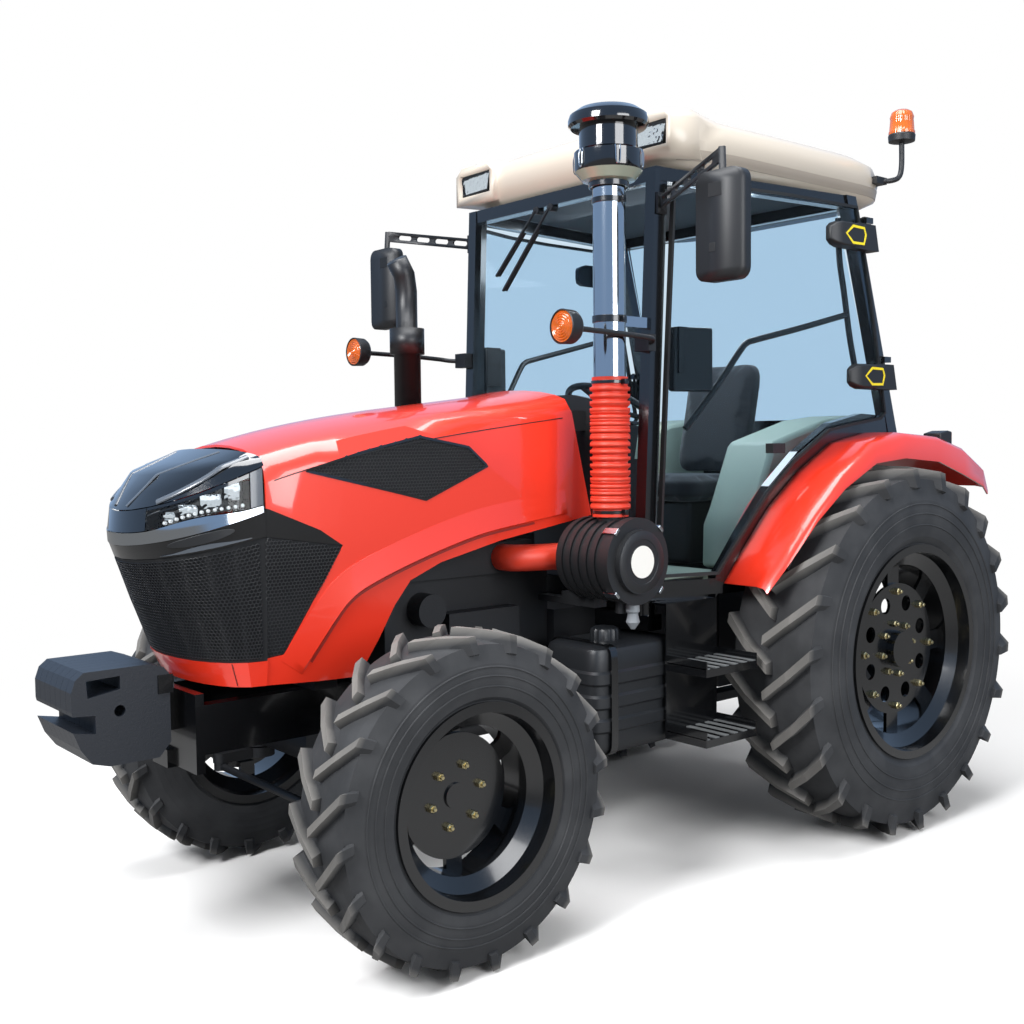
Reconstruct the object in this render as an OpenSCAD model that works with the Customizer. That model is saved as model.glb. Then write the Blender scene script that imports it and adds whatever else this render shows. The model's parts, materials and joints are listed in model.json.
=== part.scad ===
// Farm tractor with an enclosed cab, four driven wheels and a stepped stack of front weights.
// Millimetres. +X is forward, +Y is the driver's left, +Z is up, and the ground is at z = 0.
// Every module is drawn from the rear axle (x = 0 above it) and moved once, by place().

/* [Wheels] */
// distance between the axles
wheelbase = 2240; // [2160:10:2320]
// overall diameter of a rear tyre
rear_tyre_d = 1580; // [1540:5:1600]
// section width of a rear tyre
rear_tyre_w = 429; // [380:1:440]
// bead seat diameter of a rear rim
rear_seat_d = 864; // [820:2:880]
// distance between the rear tyres' middles
rear_track = 1680; // [1660:10:1740]
// overall diameter of a front tyre
front_tyre_d = 1105; // [1080:5:1120]
// section width of a front tyre
front_tyre_w = 284; // [250:1:290]
// bead seat diameter of a front rim
front_seat_d = 610; // [590:2:630]
// distance between the front tyres' middles
front_track = 1500; // [1490:10:1560]
// wall of a rim
rim_wall = 8; // [6:0.5:12]

/* [Bonnet] */
// half width of the bonnet's sides
bonnet_half = 368; // [350:1:376]
// height of the bonnet's ridge at the cab
bonnet_rear_top = 1905; // [1890:5:1915]
// thickness of the bonnet's sheets
bonnet_wall = 8; // [5:0.5:10]
// foremost point of the nose
nose_reach = 3050; // [3030:5:3060]

/* [Cab] */
// x of the front pillars' feet
pillar_front_x = 1160; // [1150:2:1164]
// half width of the cab at the front pillars
cab_front_half = 578; // [572:1:584]
// half width of the cab at the rear pillars
cab_rear_half = 752; // [746:1:756]
// underside of the roof
roof_low = 2752; // [2745:1:2765]
// top of the roof
roof_top = 2995; // [2970:5:3020]
// thickness of the panes
pane = 6; // [5:0.5:8]

/* [Running gear] */
// radius of the spindles in the front hubs
spindle_r = 45; // [42:1:47]
// radius of the rear axle shafts
axle_r = 50; // [46:1:54]
// radial clearance of a turning fit
fit_gap = 0.05; // [0.02:0.01:0.1]
// radius of the kingpins
kingpin_r = 26; // [24:0.5:28]
// radius of the balls' bores in the lower links
link_bore_r = 14.35; // [14:0.05:14.6]
// radius of the power take-off shaft
pto_r = 17.5; // [17:0.1:18]

/* [Front weights] */
// number of plates in the stack
weight_count = 7; // [5:1:7]
// pitch of the plates
weight_pitch = 47; // [44:1:47]
// length of a plate
weight_length = 315; // [300:5:320]

/* [Hidden] */

weight_foot = nose_reach - 100;
front_reach = weight_foot + weight_length;
rear_reach = 1085;
mid_x = (front_reach - rear_reach) / 2;

paint_red = "#d9331f";
black = "#1b1c1f";
rubber_black = "#2c2d2f";
iron = "#303236";
beige = "#e6e0d2";
glass_tint = "#9fb6b0";
trim_grey = "#77807c";
chrome = "#d8d8da";
amber = "#f08a10";

rear_r = rear_tyre_d / 2;
front_r = front_tyre_d / 2;
rear_y = rear_track / 2;
front_y = front_track / 2;
king_y = front_y - 160;
axle_z = front_r;
axle_seat = axle_z + 98.3;
fine = 0.3;
rear_lugs = 22;
rear_lug_h = 44;
front_lugs = 20;
front_lug_h = 32;

// Small helpers.
function lerp(a, b, t) = a + (b - a) * t;
function total(v) = v * [for (i = v) 1];
function unit(v) = v / norm(v);
// Reads a column of a table of [key, values...] rows between two keys.
function pick(table, col, key) = lookup(key, [for (row = table) [row[0], row[col]]]);

// Moves a drawing from the rear axle to the middle of the overall length.
module place() {
  translate([-mid_x, 0, 0]) children();
}

// Repeats a drawing on both sides.
module both() {
  children();
  mirror([0, 1, 0]) children();
}

// Turns a drawing made along Z so that it lies along Y.
module along_y() {
  rotate([-90, 0, 0]) children();
}

// A box between two opposite corners.
module block(a, b) {
  translate(a) cube(b - a);
}

// A round bar between two points.
module bar(p, q, r, sides = 24) {
  d = q - p;
  length = norm(d);
  translate(p)
    rotate([0, acos(d[2] / length), atan2(d[1], d[0])])
      cylinder(r = r, h = length, $fn = sides);
}

// A closed body from points and triangles, whichever way round the triangles run.
module body(p, f) {
  six_volumes = total([for (t = f) p[t[0]] * cross(p[t[1]], p[t[2]])]);
  polyhedron(points = p, faces = six_volumes > 0 ? [for (t = f) [t[0], t[2], t[1]]] : f, convexity = 6);
}

// A thick sheet between two grids of points, outside and inside.
module sheet(a, b) {
  n = len(a);
  m = len(a[0]);
  k = n * m;
  p = concat([for (row = a) for (q = row) q], [for (row = b) for (q = row) q]);
  outside = [for (i = [0 : n - 2]) for (j = [0 : m - 2]) let (o = i * m + j)
    each [[o, o + m, o + m + 1], [o, o + m + 1, o + 1]]];
  inside = [for (t = outside) [k + t[0], k + t[2], k + t[1]]];
  left = [for (i = [0 : n - 2]) let (o = i * m) each [[o + m, o, k + o], [o + m, k + o, k + o + m]]];
  right = [for (i = [0 : n - 2]) let (o = i * m + m - 1)
    each [[o, o + m, k + o + m], [o, k + o + m, k + o]]];
  first = [for (j = [0 : m - 2]) each [[j, j + 1, k + j + 1], [j, k + j + 1, k + j]]];
  last = [for (j = [0 : m - 2]) let (o = (n - 1) * m + j)
    each [[o + 1, o, k + o], [o + 1, k + o, k + o + 1]]];
  body(p, concat(outside, inside, left, right, first, last));
}

// A solid through closed rings of points, with flat ends.
module loft(rings) {
  n = len(rings);
  m = len(rings[0]);
  p = [for (r = rings) for (q = r) q];
  sides = [for (i = [0 : n - 2]) for (j = [0 : m - 1]) let (a = i * m + j, b = i * m + (j + 1) % m)
    each [[a, b, b + m], [a, b + m, a + m]]];
  low = [for (j = [1 : m - 2]) [0, j + 1, j]];
  high = [for (j = [1 : m - 2]) let (o = (n - 1) * m) [o, o + j, o + j + 1]];
  body(p, concat(sides, low, high));
}

// A bent pipe through points.
module pipe(path, r, sides = 10) {
  n = len(path);
  loft([for (i = [0 : n - 1])
    let (
      t = unit(path[min(i + 1, n - 1)] - path[max(i - 1, 0)]),
      u = unit(cross(t, abs(t[0]) < 0.8 ? [1, 0, 0] : [0, 1, 0])),
      v = cross(t, u))
      [for (s = [0 : sides - 1]) path[i] + r * (cos(360 * s / sides) * u + sin(360 * s / sides) * v)]]);
}

// A rectangular post whose ends are level.
module post(p, q, sx, sy) {
  corners = [[-1, -1], [1, -1], [1, 1], [-1, 1]];
  loft([for (e = [p, q]) [for (c = corners) e + [c[0] * sx / 2, c[1] * sy / 2, 0]]]);
}

// A rectangular rail whose ends are upright and lie across X.
module rail(p, q, sy, sz) {
  corners = [[-1, -1], [1, -1], [1, 1], [-1, 1]];
  loft([for (e = [p, q]) [for (c = corners) e + [0, c[0] * sy / 2, c[1] * sz / 2]]]);
}

// A plate drawn in the XZ plane and thickened towards +Y from y0.
module side_plate(outline, y0, thick) {
  translate([0, y0 + thick, 0]) rotate([90, 0, 0]) linear_extrude(thick) polygon(outline);
}

// Half of a tyre's outline, from the crown to the bead, as [radius, across]; shrink draws the inside.
function tyre_half(r, w, seat, bead, shrink) = concat(
  [for (i = [0 : 3]) let (y = (w * 0.43 - shrink) * i / 3) [r - 2.4 * shrink - 60 * pow(y / w, 2), y]],
  [for (a = [35 : 19 : 130])
    [lerp(seat, r, 0.44) + ((r - seat) * 0.40 - shrink) * cos(a), w * 0.42 - shrink + w * 0.08 * sin(a)]],
  [[seat + 28 + shrink * 0.3, bead - 0.5 - shrink], [seat, bead - 0.5 - shrink]]);

// A point of a wheel at an angle from its top towards +X.
function wheel_point(r, a, y) = [r * sin(a), y, r * cos(a)];

// Four corners across a lug: two on its crest and two in the carcass below it.
function lug_ring(top, top_y, foot, foot_y, a, crest, root) =
  let (c = crest / top * 90 / PI, f = root / foot * 90 / PI) [
    wheel_point(top / cos(c), a + c, top_y), wheel_point(top / cos(c), a - c, top_y),
    wheel_point(foot, a - f, foot_y), wheel_point(foot, a + f, foot_y)];

// Slanting lugs on both sides of a tyre, in turn; a lug's end at the shoulder trails its end at the middle.
module lugs(r, w, h, count) {
  lag = 13.5;
  crest = 0.85 * h;
  root = 1.45 * h;
  for (s = [-1, 1]) for (i = [0 : count - 1]) let (a = 360 * (s > 0 ? i : i + 0.5) / count)
    loft([
      lug_ring(r, -0.03 * s * w, r - h - 15, -0.03 * s * w, a, crest, root),
      lug_ring(r - 3, 0.24 * s * w, r - h - 18, 0.24 * s * w, a - 0.5 * lag, crest, root),
      lug_ring(r - 0.3 * h, 0.475 * s * w, r - h - 40, 0.42 * s * w, a - lag, 1.1 * crest, 1.1 * root),
      lug_ring(r - 2.1 * h, 0.497 * s * w, r - 2.4 * h, 0.42 * s * w, a - 1.1 * lag, 0.9 * crest,
        0.9 * root)]);
}

// A tyre with lugs on the Y axis.
module tyre(r, w, seat, bead, lug_h, lug_count) {
  carcass_r = r - lug_h;
  outer = tyre_half(carcass_r, w, seat, bead, 0);
  inner = tyre_half(carcass_r, w, seat, bead, 20);
  n = len(outer);
  ring = concat(
    [for (i = [n - 1 : -1 : 1]) [outer[i][0], -outer[i][1]]], outer,
    [for (i = [n - 1 : -1 : 1]) inner[i]], [for (i = [0 : n - 1]) [inner[i][0], -inner[i][1]]]);
  along_y() rotate_extrude($fn = 96) polygon(ring);
  lugs(r, w, lug_h, lug_count);
}

// A drop-centre rim on the Y axis; half is half of its width between the flanges.
module rim_ring(seat, half, well) {
  outer = [[seat + 25, half + 12], [seat + 25, half], [seat - fine, half], [seat - 8, half - 46],
    [seat - well, half - 78]];
  inner = [[seat - well - rim_wall, half - 78 + rim_wall], [seat - 8 - rim_wall, half - 46 + rim_wall],
    [seat - fine - rim_wall, half + 12]];
  ring = concat(outer, [for (i = [len(outer) - 1 : -1 : 0]) [outer[i][0], -outer[i][1]]],
    [for (i = [len(inner) - 1 : -1 : 0]) [inner[i][0], -inner[i][1]]], inner);
  along_y() rotate_extrude($fn = 96) polygon(ring);
}

// Rear wheel's rim, centre disc, hub and axle shaft, for the left side, about the wheel's own middle.
module rear_rim() {
  seat = rear_seat_d / 2;
  bead = 190;
  face = 95;
  rim_ring(seat, bead, 60);
  along_y() {
    difference() {
      translate([0, 0, face - 14]) cylinder(r = 282, h = 14, $fn = 64);
      for (i = [0 : 7])
        rotate(45 * i + 22.5) translate([205, 0, face - 20]) cylinder(r = 34, h = 30, $fn = 32);
    }
    for (i = [0 : 7])
      rotate(45 * i) translate([225, -42, face - 30]) cube([seat - 60 - 225, 84, 15.5]);
    translate([0, 0, face - 60]) cylinder(r = 150, h = 46.5, $fn = 48);
    translate([0, 0, face - 1]) cylinder(r = 78, h = 40, $fn = 48);
    translate([0, 0, face - 335]) cylinder(r = axle_r, h = 300, $fn = 48);
  }
}

// Front wheel's rim, centre disc and hub, for the left side, about the wheel's own middle.
module front_rim() {
  seat = front_seat_d / 2;
  bead = 127;
  face = -15;
  rim_ring(seat, bead, 55);
  along_y() {
    difference() {
      union() {
        translate([0, 0, face - 12]) cylinder(r = 205, h = 12, $fn = 64);
        translate([0, 0, face - 38]) cylinder(r = 95, h = 27, $fn = 48);
      }
      translate([0, 0, face - 40]) cylinder(r = spindle_r + fit_gap, h = 25, $fn = 48);
    }
    for (i = [0 : 5])
      rotate(60 * i + 30) translate([180, -32, face - 30]) cube([seat - 55 - 180, 64, 18.5]);
    translate([0, 0, face - 1]) cylinder(r = 42, h = 9, $fn = 48);
  }
}

module rear_tyre_left() {
  color(rubber_black) place() translate([0, rear_y, rear_r])
    tyre(rear_r, rear_tyre_w, rear_seat_d / 2, 190, rear_lug_h, rear_lugs);
}

module rear_tyre_right() {
  mirror([0, 1, 0]) rear_tyre_left();
}

module front_tyre_left() {
  color(rubber_black) place() translate([wheelbase, front_y, axle_z])
    tyre(front_r, front_tyre_w, front_seat_d / 2, 127, front_lug_h, front_lugs);
}

module front_tyre_right() {
  mirror([0, 1, 0]) front_tyre_left();
}

module rear_rim_left() {
  color(black) place() translate([0, rear_y, rear_r]) rear_rim();
}

module rear_rim_right() {
  mirror([0, 1, 0]) rear_rim_left();
}

module front_rim_left() {
  color(black) place() translate([wheelbase, front_y, axle_z]) front_rim();
}

module front_rim_right() {
  mirror([0, 1, 0]) front_rim_left();
}

// Steering knuckle: two ears and the kingpin round the axle's end, the spindle and the steering arm.
arm_reach = 175;
module knuckle_left() {
  color(iron) place() translate([wheelbase, king_y, axle_z]) {
    for (z = [-126, 86]) {
      translate([0, 0, z]) cylinder(r = 58, h = 40, $fn = 48);
      block([-50, 0, z], [50, 100, z + 40]);
    }
    translate([0, 0, -126]) cylinder(r = kingpin_r, h = 252, $fn = 48);
    block([-50, 66, -126], [50, 100, 126]);
    along_y() translate([0, 0, 95]) cylinder(r = spindle_r, h = 30, $fn = 48);
    block([0, -32, -126], [arm_reach, 32, -86]);
    translate([arm_reach, 0, -126]) cylinder(r = 32, h = 40, $fn = 32);
    translate([arm_reach, 0, -160]) cylinder(r = 12, h = 60, $fn = 32);
  }
}

module knuckle_right() {
  mirror([0, 1, 0]) knuckle_left();
}

// Tie rod with an eye at each end.
module tie_rod() {
  color(iron) place() translate([wheelbase + arm_reach, 0, axle_z - 142])
    difference() {
      union() {
        along_y() translate([0, 0, -king_y]) cylinder(r = 15, h = 2 * king_y, $fn = 32);
        for (s = [-1, 1]) translate([0, s * king_y, -14]) cylinder(r = 28, h = 28, $fn = 32);
      }
      for (s = [-1, 1]) translate([0, s * king_y, -30]) cylinder(r = 12.3, h = 60, $fn = 32);
    }
}

// Front axle beam with its final-drive case, trunnion block and drive shaft.
module front_axle() {
  color(iron) place() translate([wheelbase, 0, axle_z])
    difference() {
      union() {
        along_y() translate([0, 0, -king_y]) cylinder(r = 72, h = 2 * king_y, $fn = 48);
        for (s = [-1, 1]) translate([0, s * king_y, -80]) cylinder(r = 60, h = 160, $fn = 48);
        translate([0, 60, -25]) sphere(r = 120, $fn = 48);
        rotate([0, -90, 0]) translate([0, 60, 0]) cylinder(r = 70, h = 260, $fn = 48);
        block([-90, -60, 0], [90, 60, 98]);
        rotate([0, -90, 0]) translate([0, 60, 0]) cylinder(r = 34, h = wheelbase - 1350.3, $fn = 32);
      }
      for (s = [-1, 1])
        translate([0, s * king_y, -90]) cylinder(r = kingpin_r + fit_gap, h = 180, $fn = 48);
    }
}

// Gearbox, rear axle case with its trumpets, and the power take-off shaft.
gear_top = 1056;
case_rear = -300;
module transmission() {
  color(iron) place() {
    difference() {
      union() {
        block([case_rear, -230, 560], [330, 230, gear_top]);
        block([328, -190, 600], [1000, 190, 1010]);
        block([998, -230, 600], [1349.7, 230, 1020]);
        block([1150, 0, 490], [1350, 120, 601]);
        for (s = [-1, 1]) translate([0, 0, rear_r]) rotate([-90 * s, 0, 0]) {
          translate([0, 0, 200]) cylinder(r = 170, h = 120, $fn = 48);
          translate([0, 0, 310]) cylinder(r1 = 140, r2 = 100, h = 310, $fn = 48);
        }
      }
      for (s = [-1, 1]) translate([0, 0, rear_r]) rotate([-90 * s, 0, 0])
        translate([0, 0, 560]) cylinder(r = axle_r + fit_gap, h = 80, $fn = 48);
    }
    for (s = [-1, 1]) difference() {
      block([-390, s * 200 - 30, 965], [case_rear - fine, s * 200 + 30, gear_top]);
      translate(lift_pivot) along_y()
        translate([0, 0, -240]) cylinder(r = lift_shaft_r + fit_gap, h = 480, $fn = 48);
    }
    translate([-380, 0, 700]) rotate([0, 90, 0]) cylinder(r = pto_r, h = case_rear - fine + 380, $fn = 48);
    for (s = [-1, 1]) block([-380, s * 90 - 9, 640], [case_rear - fine, s * 90 + 9, 790]);
    block([-380, -99, 785], [case_rear - fine, 99, 800]);
  }
}

// Engine: crankcase, head, cover, sump and side equipment.
engine_front = 2140;
module engine_block() {
  color(iron) place() {
    block([1350, -190, axle_seat], [engine_front, 190, 1190]);
    block([1380, -150, 1189], [engine_front - 40, 150, 1330]);
    block([1420, -110, 1329], [engine_front - 80, 110, 1400]);
    block([1420, -140, axle_z + 47.5], [engine_front - 180, 140, axle_seat + 1]);
    block([1560, 188, 900], [engine_front - 240, 262, 1060]);
    translate([engine_front - 160, 189, 1080]) along_y() cylinder(r = 62, h = 80, $fn = 32);
    translate([1460, 189, 840]) along_y() cylinder(r = 48, h = 70, $fn = 32);
    block([1450, 149, 1188], [engine_front - 90, 215, 1310]);
    block([1450, -230, 1200], [engine_front - 90, -149, 1290]);
    translate([engine_front - 1, 0, 1010]) rotate([0, 90, 0]) cylinder(r = 70, h = 90, $fn = 32);
    translate([engine_front + 88, 0, 1080]) rotate([0, 90, 0]) cylinder(r = 210, h = 40, $fn = 32);
  }
}

// Frame rails, axle seat, front plate and the carrier of the weights.
frame_front = weight_foot - 50;
rail_low = axle_z + 147.5;
rail_top = 862;
module front_frame() {
  rail_rear = min(engine_front - 120, wheelbase - 220);
  color(iron) place() {
    for (s = [-1, 1]) block([rail_rear, s * 215 - 24, rail_low], [frame_front, s * 215 + 24, rail_top]);
    for (s = [-1, 1])
      block([engine_front - 120, s * 192 - 1.7, rail_low], [engine_front - 1, s * 192 + 1.7, rail_top]);
    block([wheelbase - 90, -192, axle_seat], [wheelbase + 90, 192, rail_low + 40]);
    block([frame_front - 340, -192, rail_low], [frame_front - 200, 192, rail_low + 40]);
    block([frame_front - 30, -239, 640], [frame_front, 239, 900]);
    block([frame_front - 1, -80, 760], [weight_foot - 8, 80, 940]);
    block([weight_foot - 9, -170, 905], [weight_foot + 40, 170, 965]);
    translate([frame_front - 40, 0, 660]) block([-30, -60, -30], [60, 60, 30]);
  }
}

// Radiator core and its shroud, behind the grille.
module radiator() {
  color(black) place() {
    block([2400, -285, rail_top + 0.3], [2490, 285, 1560]);
    block([2320, -240, 900], [2401, 240, 1420]);
  }
}

// Suitcase weights side by side on the carrier, each with a lifting slot, a grip notch and a bolt hole.
module front_weights() {
  front = front_reach;
  foot = weight_foot;
  outline = [[foot, 745], [foot + 40, 700], [front - 115, 700], [front - 60, 716], [front - 25, 765],
    [front - 3, 822], [front - 73, 808], [front - 73, 866], [front - 3, 872], [front, 885], [front, 945],
    [front - 13, 982], [front - 40, 1004], [foot + 62, 1004], [foot + 18, 988], [foot, 965.3],
    [foot + 40.3, 965.3], [foot + 40.3, 904.7], [foot, 904.7]];
  slot = [[front - 153, 938], [front - 50, 922], [front - 46, 976], [front - 153, 980]];
  thick = weight_pitch - 1;
  color("#33373d") place()
    for (i = [0 : weight_count - 1])
      translate([0, (i - (weight_count - 1) / 2) * weight_pitch - thick / 2, 0])
        difference() {
          side_plate(outline, 0, thick);
          side_plate(slot, -1, thick + 2);
          translate([front - 150, -1, 870]) along_y() cylinder(r = 18, h = thick + 2, $fn = 32);
        }
}

// Fuel tank under the left of the cab, with strap ribs.
module fuel_tank() {
  color(black) place() {
    block([1020, 300, 510], [1480, 612, 925]);
    for (z = [600, 690, 780]) block([1012, 300, z], [1488, 622, z + 45]);
    translate([1300, 470, 924]) cylinder(r = 55, h = 50, $fn = 32);
    block([1100, 230.3, 620], [1130, 301, 660]);
    block([1370, 190.3, 660], [1400, 301, 700]);
  }
}

// Battery box under the right of the cab.
module battery_box() {
  color(black) place() {
    block([1020, -600, 560], [1480, -300, 900]);
    block([1010, -610, 896], [1490, -290, 925]);
    block([1100, -301, 620], [1130, -230.3, 660]);
    block([1370, -301, 660], [1400, -190.3, 700]);
  }
}

// Treads and hangers under both doors.
step_rear = 828;
step_front = 1128;
module steps() {
  color(black) place() both() {
    block([step_rear, 630, 530], [step_front, 637, 1060.7]);
    block([step_rear, 560, 1053], [step_front, 637, 1060.7]);
    for (z = [530, 800]) {
      difference() {
        block([step_rear, 636, z], [step_front, 840, z + 30]);
        for (i = [0 : 4])
          block([step_rear + 24 + 55 * i, 665, z - 1], [step_rear + 56 + 55 * i, 815, z + 31]);
      }
      for (x = [step_rear, step_front - 6]) block([x, 636, z], [x + 6, 840, z + 60]);
    }
  }
}

// Air cleaner: ribbed canister lying across, with its end cover.
clean_x = 1368;
clean_z = 1250;
module air_cleaner() {
  color(black) place() {
    translate([clean_x, 430, clean_z]) along_y() {
      cylinder(r = 150, h = 250, $fn = 48);
      for (i = [0 : 4]) translate([0, 0, 20 + 44 * i]) cylinder(r = 158, h = 20, $fn = 48);
      translate([0, 0, 249]) cylinder(r = 162, h = 40, $fn = 48);
      translate([0, 0, 288]) cylinder(r = 120, h = 22, $fn = 48);
    }
    translate([clean_x, 630, clean_z - 200]) cylinder(r = 22, h = 60, $fn = 24);
    translate([clean_x, stack_y, clean_z]) cylinder(r = 51.7, h = 230, $fn = 48);
    block([clean_x - 30, 330, clean_z - 190], [clean_x + 30, 520, clean_z - 140]);
    block([clean_x - 10, 190.3, clean_z - 190], [clean_x + 30, 331, clean_z - 165]);
  }
}

// Chrome stack pipe with the bowl-shaped pre-cleaner on top.
stack_x = clean_x;
stack_y = 575;
module intake_pipe() {
  color(chrome) place() translate([stack_x, stack_y, 0]) {
    translate([0, 0, 1935.3]) cylinder(r = 62, h = 720, $fn = 48);
    rotate_extrude($fn = 64) polygon([[0, 2640], [72, 2640], [72, 2654], [98, 2660], [126, 2692],
      [129, 2700], [129, 2762], [124, 2768], [109, 2770], [109, 2850], [140, 2852], [150, 2862],
      [150, 2880], [144, 2898], [112, 2920], [60, 2931], [0, 2931]]);
    block([pillar_face(2130) + 0.3 - stack_x, -34, 2130], [-50, -4, 2170]);
    translate([0, 0, 1880]) cylinder(r = 51.7, h = 60, $fn = 48);
  }
}

// Corrugated hose from the stack to the cleaner, and the elbow on to the engine.
module intake_hoses() {
  color("#c8321f") place() {
    translate([stack_x, stack_y, clean_z + 162]) difference() {
      union() {
        cylinder(r = 66, h = 523, $fn = 48);
        for (i = [0 : 17]) translate([0, 0, 30 + 26 * i]) cylinder(r = 76, h = 13, $fn = 48);
      }
      translate([0, 0, -1]) cylinder(r = 52, h = 525, $fn = 48);
    }
    pipe([[clean_x, 429.7, clean_z], [clean_x, 405, clean_z], [clean_x + 30, 375, clean_z],
      [clean_x + 90, 345, clean_z], [clean_x + 180, 315, clean_z], [clean_x + 225, 290, clean_z],
      [clean_x + 240, 260, clean_z], [clean_x + 240, 215.3, clean_z]], 52, 16);
  }
}

// Exhaust stack on the right.
module exhaust() {
  color(black) place() {
    translate([1552, -480, 1680]) cylinder(r = 58, h = 500, $fn = 48);
    translate([1552, -480, 2080]) cylinder(r = 75, h = 110, $fn = 48);
    pipe([[1552, -480, 2189], [1552, -480, 2350], [1562, -480, 2420], [1600, -480, 2480]], 47, 16);
    pipe([[1552, -480, 1681], [1552, -480, 1420], [1552, -440, 1330], [1552, -330, 1248],
      [1552, -270, 1245], [1552, -230.3, 1245]], 40, 12);
  }
}

// Half width of the cab's outside at x, bowed like its doors.
function cab_half(x) = lookup(x, [[-260, cab_rear_half], [0, cab_rear_half - 2], [500, cab_rear_half - 22],
  [770, cab_front_half + 112], [1090, cab_front_half + 12], [pillar_front_x, cab_front_half]]);

// Outline of the fenders' top, from the front edge back to the tail: [x, z, outer y, foot of the skirt].
fender_rows = [[820, 1120, 885, 1095], [740, 1240, 932, 1212], [590, 1420, 957, 1372],
  [420, 1560, 965, 1494], [200, 1680, 965, 1592], [-20, 1722, 965, 1610], [-291, 1706, 965, 1590],
  [-504, 1655, 965, 1527], [-685, 1568, 958, 1470], [-752, 1473, 945, 1430]];
fender_line = [for (r = fender_rows) [r[0], r[1]]];
fender_wall = 8;

// Points of an outline moved outwards by d, across its direction.
function offset_line(line, d) = let (n = len(line)) [for (i = [0 : n - 1])
  let (t = unit(line[min(i + 1, n - 1)] - line[max(i - 1, 0)])) line[i] + d * [t[1], -t[0]]];

// Fender tops rolled over into outer skirts, and the inner walls of the cab below them.
module fenders() {
  inner = offset_line(fender_line, -fender_wall);
  n = len(fender_rows);
  outside = [for (r = fender_rows) [[r[0], 596, r[1]], [r[0], r[2] - 60, r[1]], [r[0], r[2] - 18, r[1] - 7],
    [r[0], r[2], r[1] - 26], [r[0], r[2], r[3]]]];
  inside = [for (i = [0 : n - 1]) let (r = fender_rows[i], p = inner[i]) [[p[0], 596, p[1]],
    [p[0], r[2] - 62, p[1]], [p[0], r[2] - 24, p[1] - 6], [p[0], r[2] - fender_wall, p[1] - 20],
    [r[0], r[2] - fender_wall, r[3]]]];
  color(paint_red) place() both() {
    sheet(outside, inside);
    side_plate(concat([for (p = inner) p + [0, 2]], [[-560, 1131.3], [680, 1131.3]]), 590, 6.5);
  }
}

// Pillars, sills and headers of the cab.
header = roof_low - 0.3;
floor_top = 1131;
pillar_lean = atan(72 / (header - floor_top));
function pillar_x(z) = lerp(pillar_front_x, pillar_front_x - 72, (z - floor_top) / (header - floor_top));
function pillar_face(z) = pillar_x(z) + 33;
function pillar_in(z) =
  lerp(cab_front_half - 54, cab_front_half - 46, (z - floor_top) / (header - floor_top)) - 0.3;
seal_h = 84;
module cab_frame() {
  foot = lookup(-262, [[-291, 1706], [-20, 1722]]) + 2.4;
  color(black) place() {
    both() {
      post([pillar_front_x, cab_front_half - 28, floor_top + 0.3],
        [pillar_x(header), cab_front_half - 20, header], 66, 52);
      post([-262, cab_rear_half - 28, foot], [28, cab_rear_half - 60, header], 70, 52);
      rail([pillar_x(header) + 20, cab_front_half - 20, header - 27],
        [10, cab_rear_half - 62, header - 27], 50, 52);
      rail([pillar_front_x, cab_front_half - 28, 1111], [832, cab_half(832) - 26, 1111], 52, 62);
      rail([858, cab_half(858) - 26, 1063.3 + seal_h / 2],
        [820, cab_half(820) - 26, 1120.3 + seal_h / 2], 40, seal_h);
      for (i = [0 : 4]) let (p = fender_line[i], q = fender_line[i + 1])
        rail([p[0], cab_half(p[0]) - 26, p[1] + seal_h / 2 + 0.3],
          [q[0], cab_half(q[0]) - 26, q[1] + seal_h / 2 + 0.3], 40, seal_h);
      rail([-20, cab_half(-20) - 26, 1722.3 + seal_h / 2],
        [-262, cab_half(-262) - 26, foot + seal_h / 2], 40, seal_h);
    }
    block([pillar_x(header) - 30, 40 - cab_front_half, header - 54],
      [pillar_x(header) + 30, cab_front_half - 40, header]);
    both() for (z = door_hinges) difference() {
      block([door_axis_x(z) - 20, cab_rear_half - 42, z + 67],
        [door_axis_x(z) + 30, door_axis_y + 20, z + 92]);
      door_pin(z, door_pin_r + fit_gap);
    }
    block([-10, 80 - cab_rear_half, header - 54], [50, cab_rear_half - 80, header]);
    block([-300, 30 - cab_rear_half, 1742], [-236, cab_rear_half - 30, 1790]);
    block([-262, -589, floor_top + 0.3], [-236, 589, 1743]);
  }
}

// Floor pan on its four rubber feet.
module cab_floor() {
  half = [[1190, cab_front_half - 54.3], [pillar_front_x, cab_front_half - 54.3],
    [832, cab_half(832) - 52.3], [830, 589], [-262, 589]];
  color(black) place() {
    difference() {
      translate([0, 0, 1061]) linear_extrude(floor_top - 1061)
        polygon(concat(half, [for (i = [4 : -1 : 0]) [half[i][0], -half[i][1]]]));
      block([-261, -400, 1060], [1100, 400, 1085]);
    }
    for (x = [-150, 1080]) for (s = [-1, 1])
      translate([x, s * 480, 1000]) cylinder(r = 45, h = 62, $fn = 32);
    both() {
      block([1040, 230.3, 940], [1120, 530, 1001]);
      block([-190, 230.3, 960], [-110, 530, 1001]);
    }
  }
}

// Places a drawing made in the YZ plane on the sloping front wall of the cab.
module front_wall(thick) {
  translate([pillar_front_x, 0, floor_top]) rotate([0, -pillar_lean, 0]) translate([-thick / 2, 0, 0])
    rotate([90, 0, 90]) linear_extrude(thick) children();
}
cowl_sill = 170;
cowl_dome = [[380, 650], [330, 720], [120, 760]];

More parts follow.
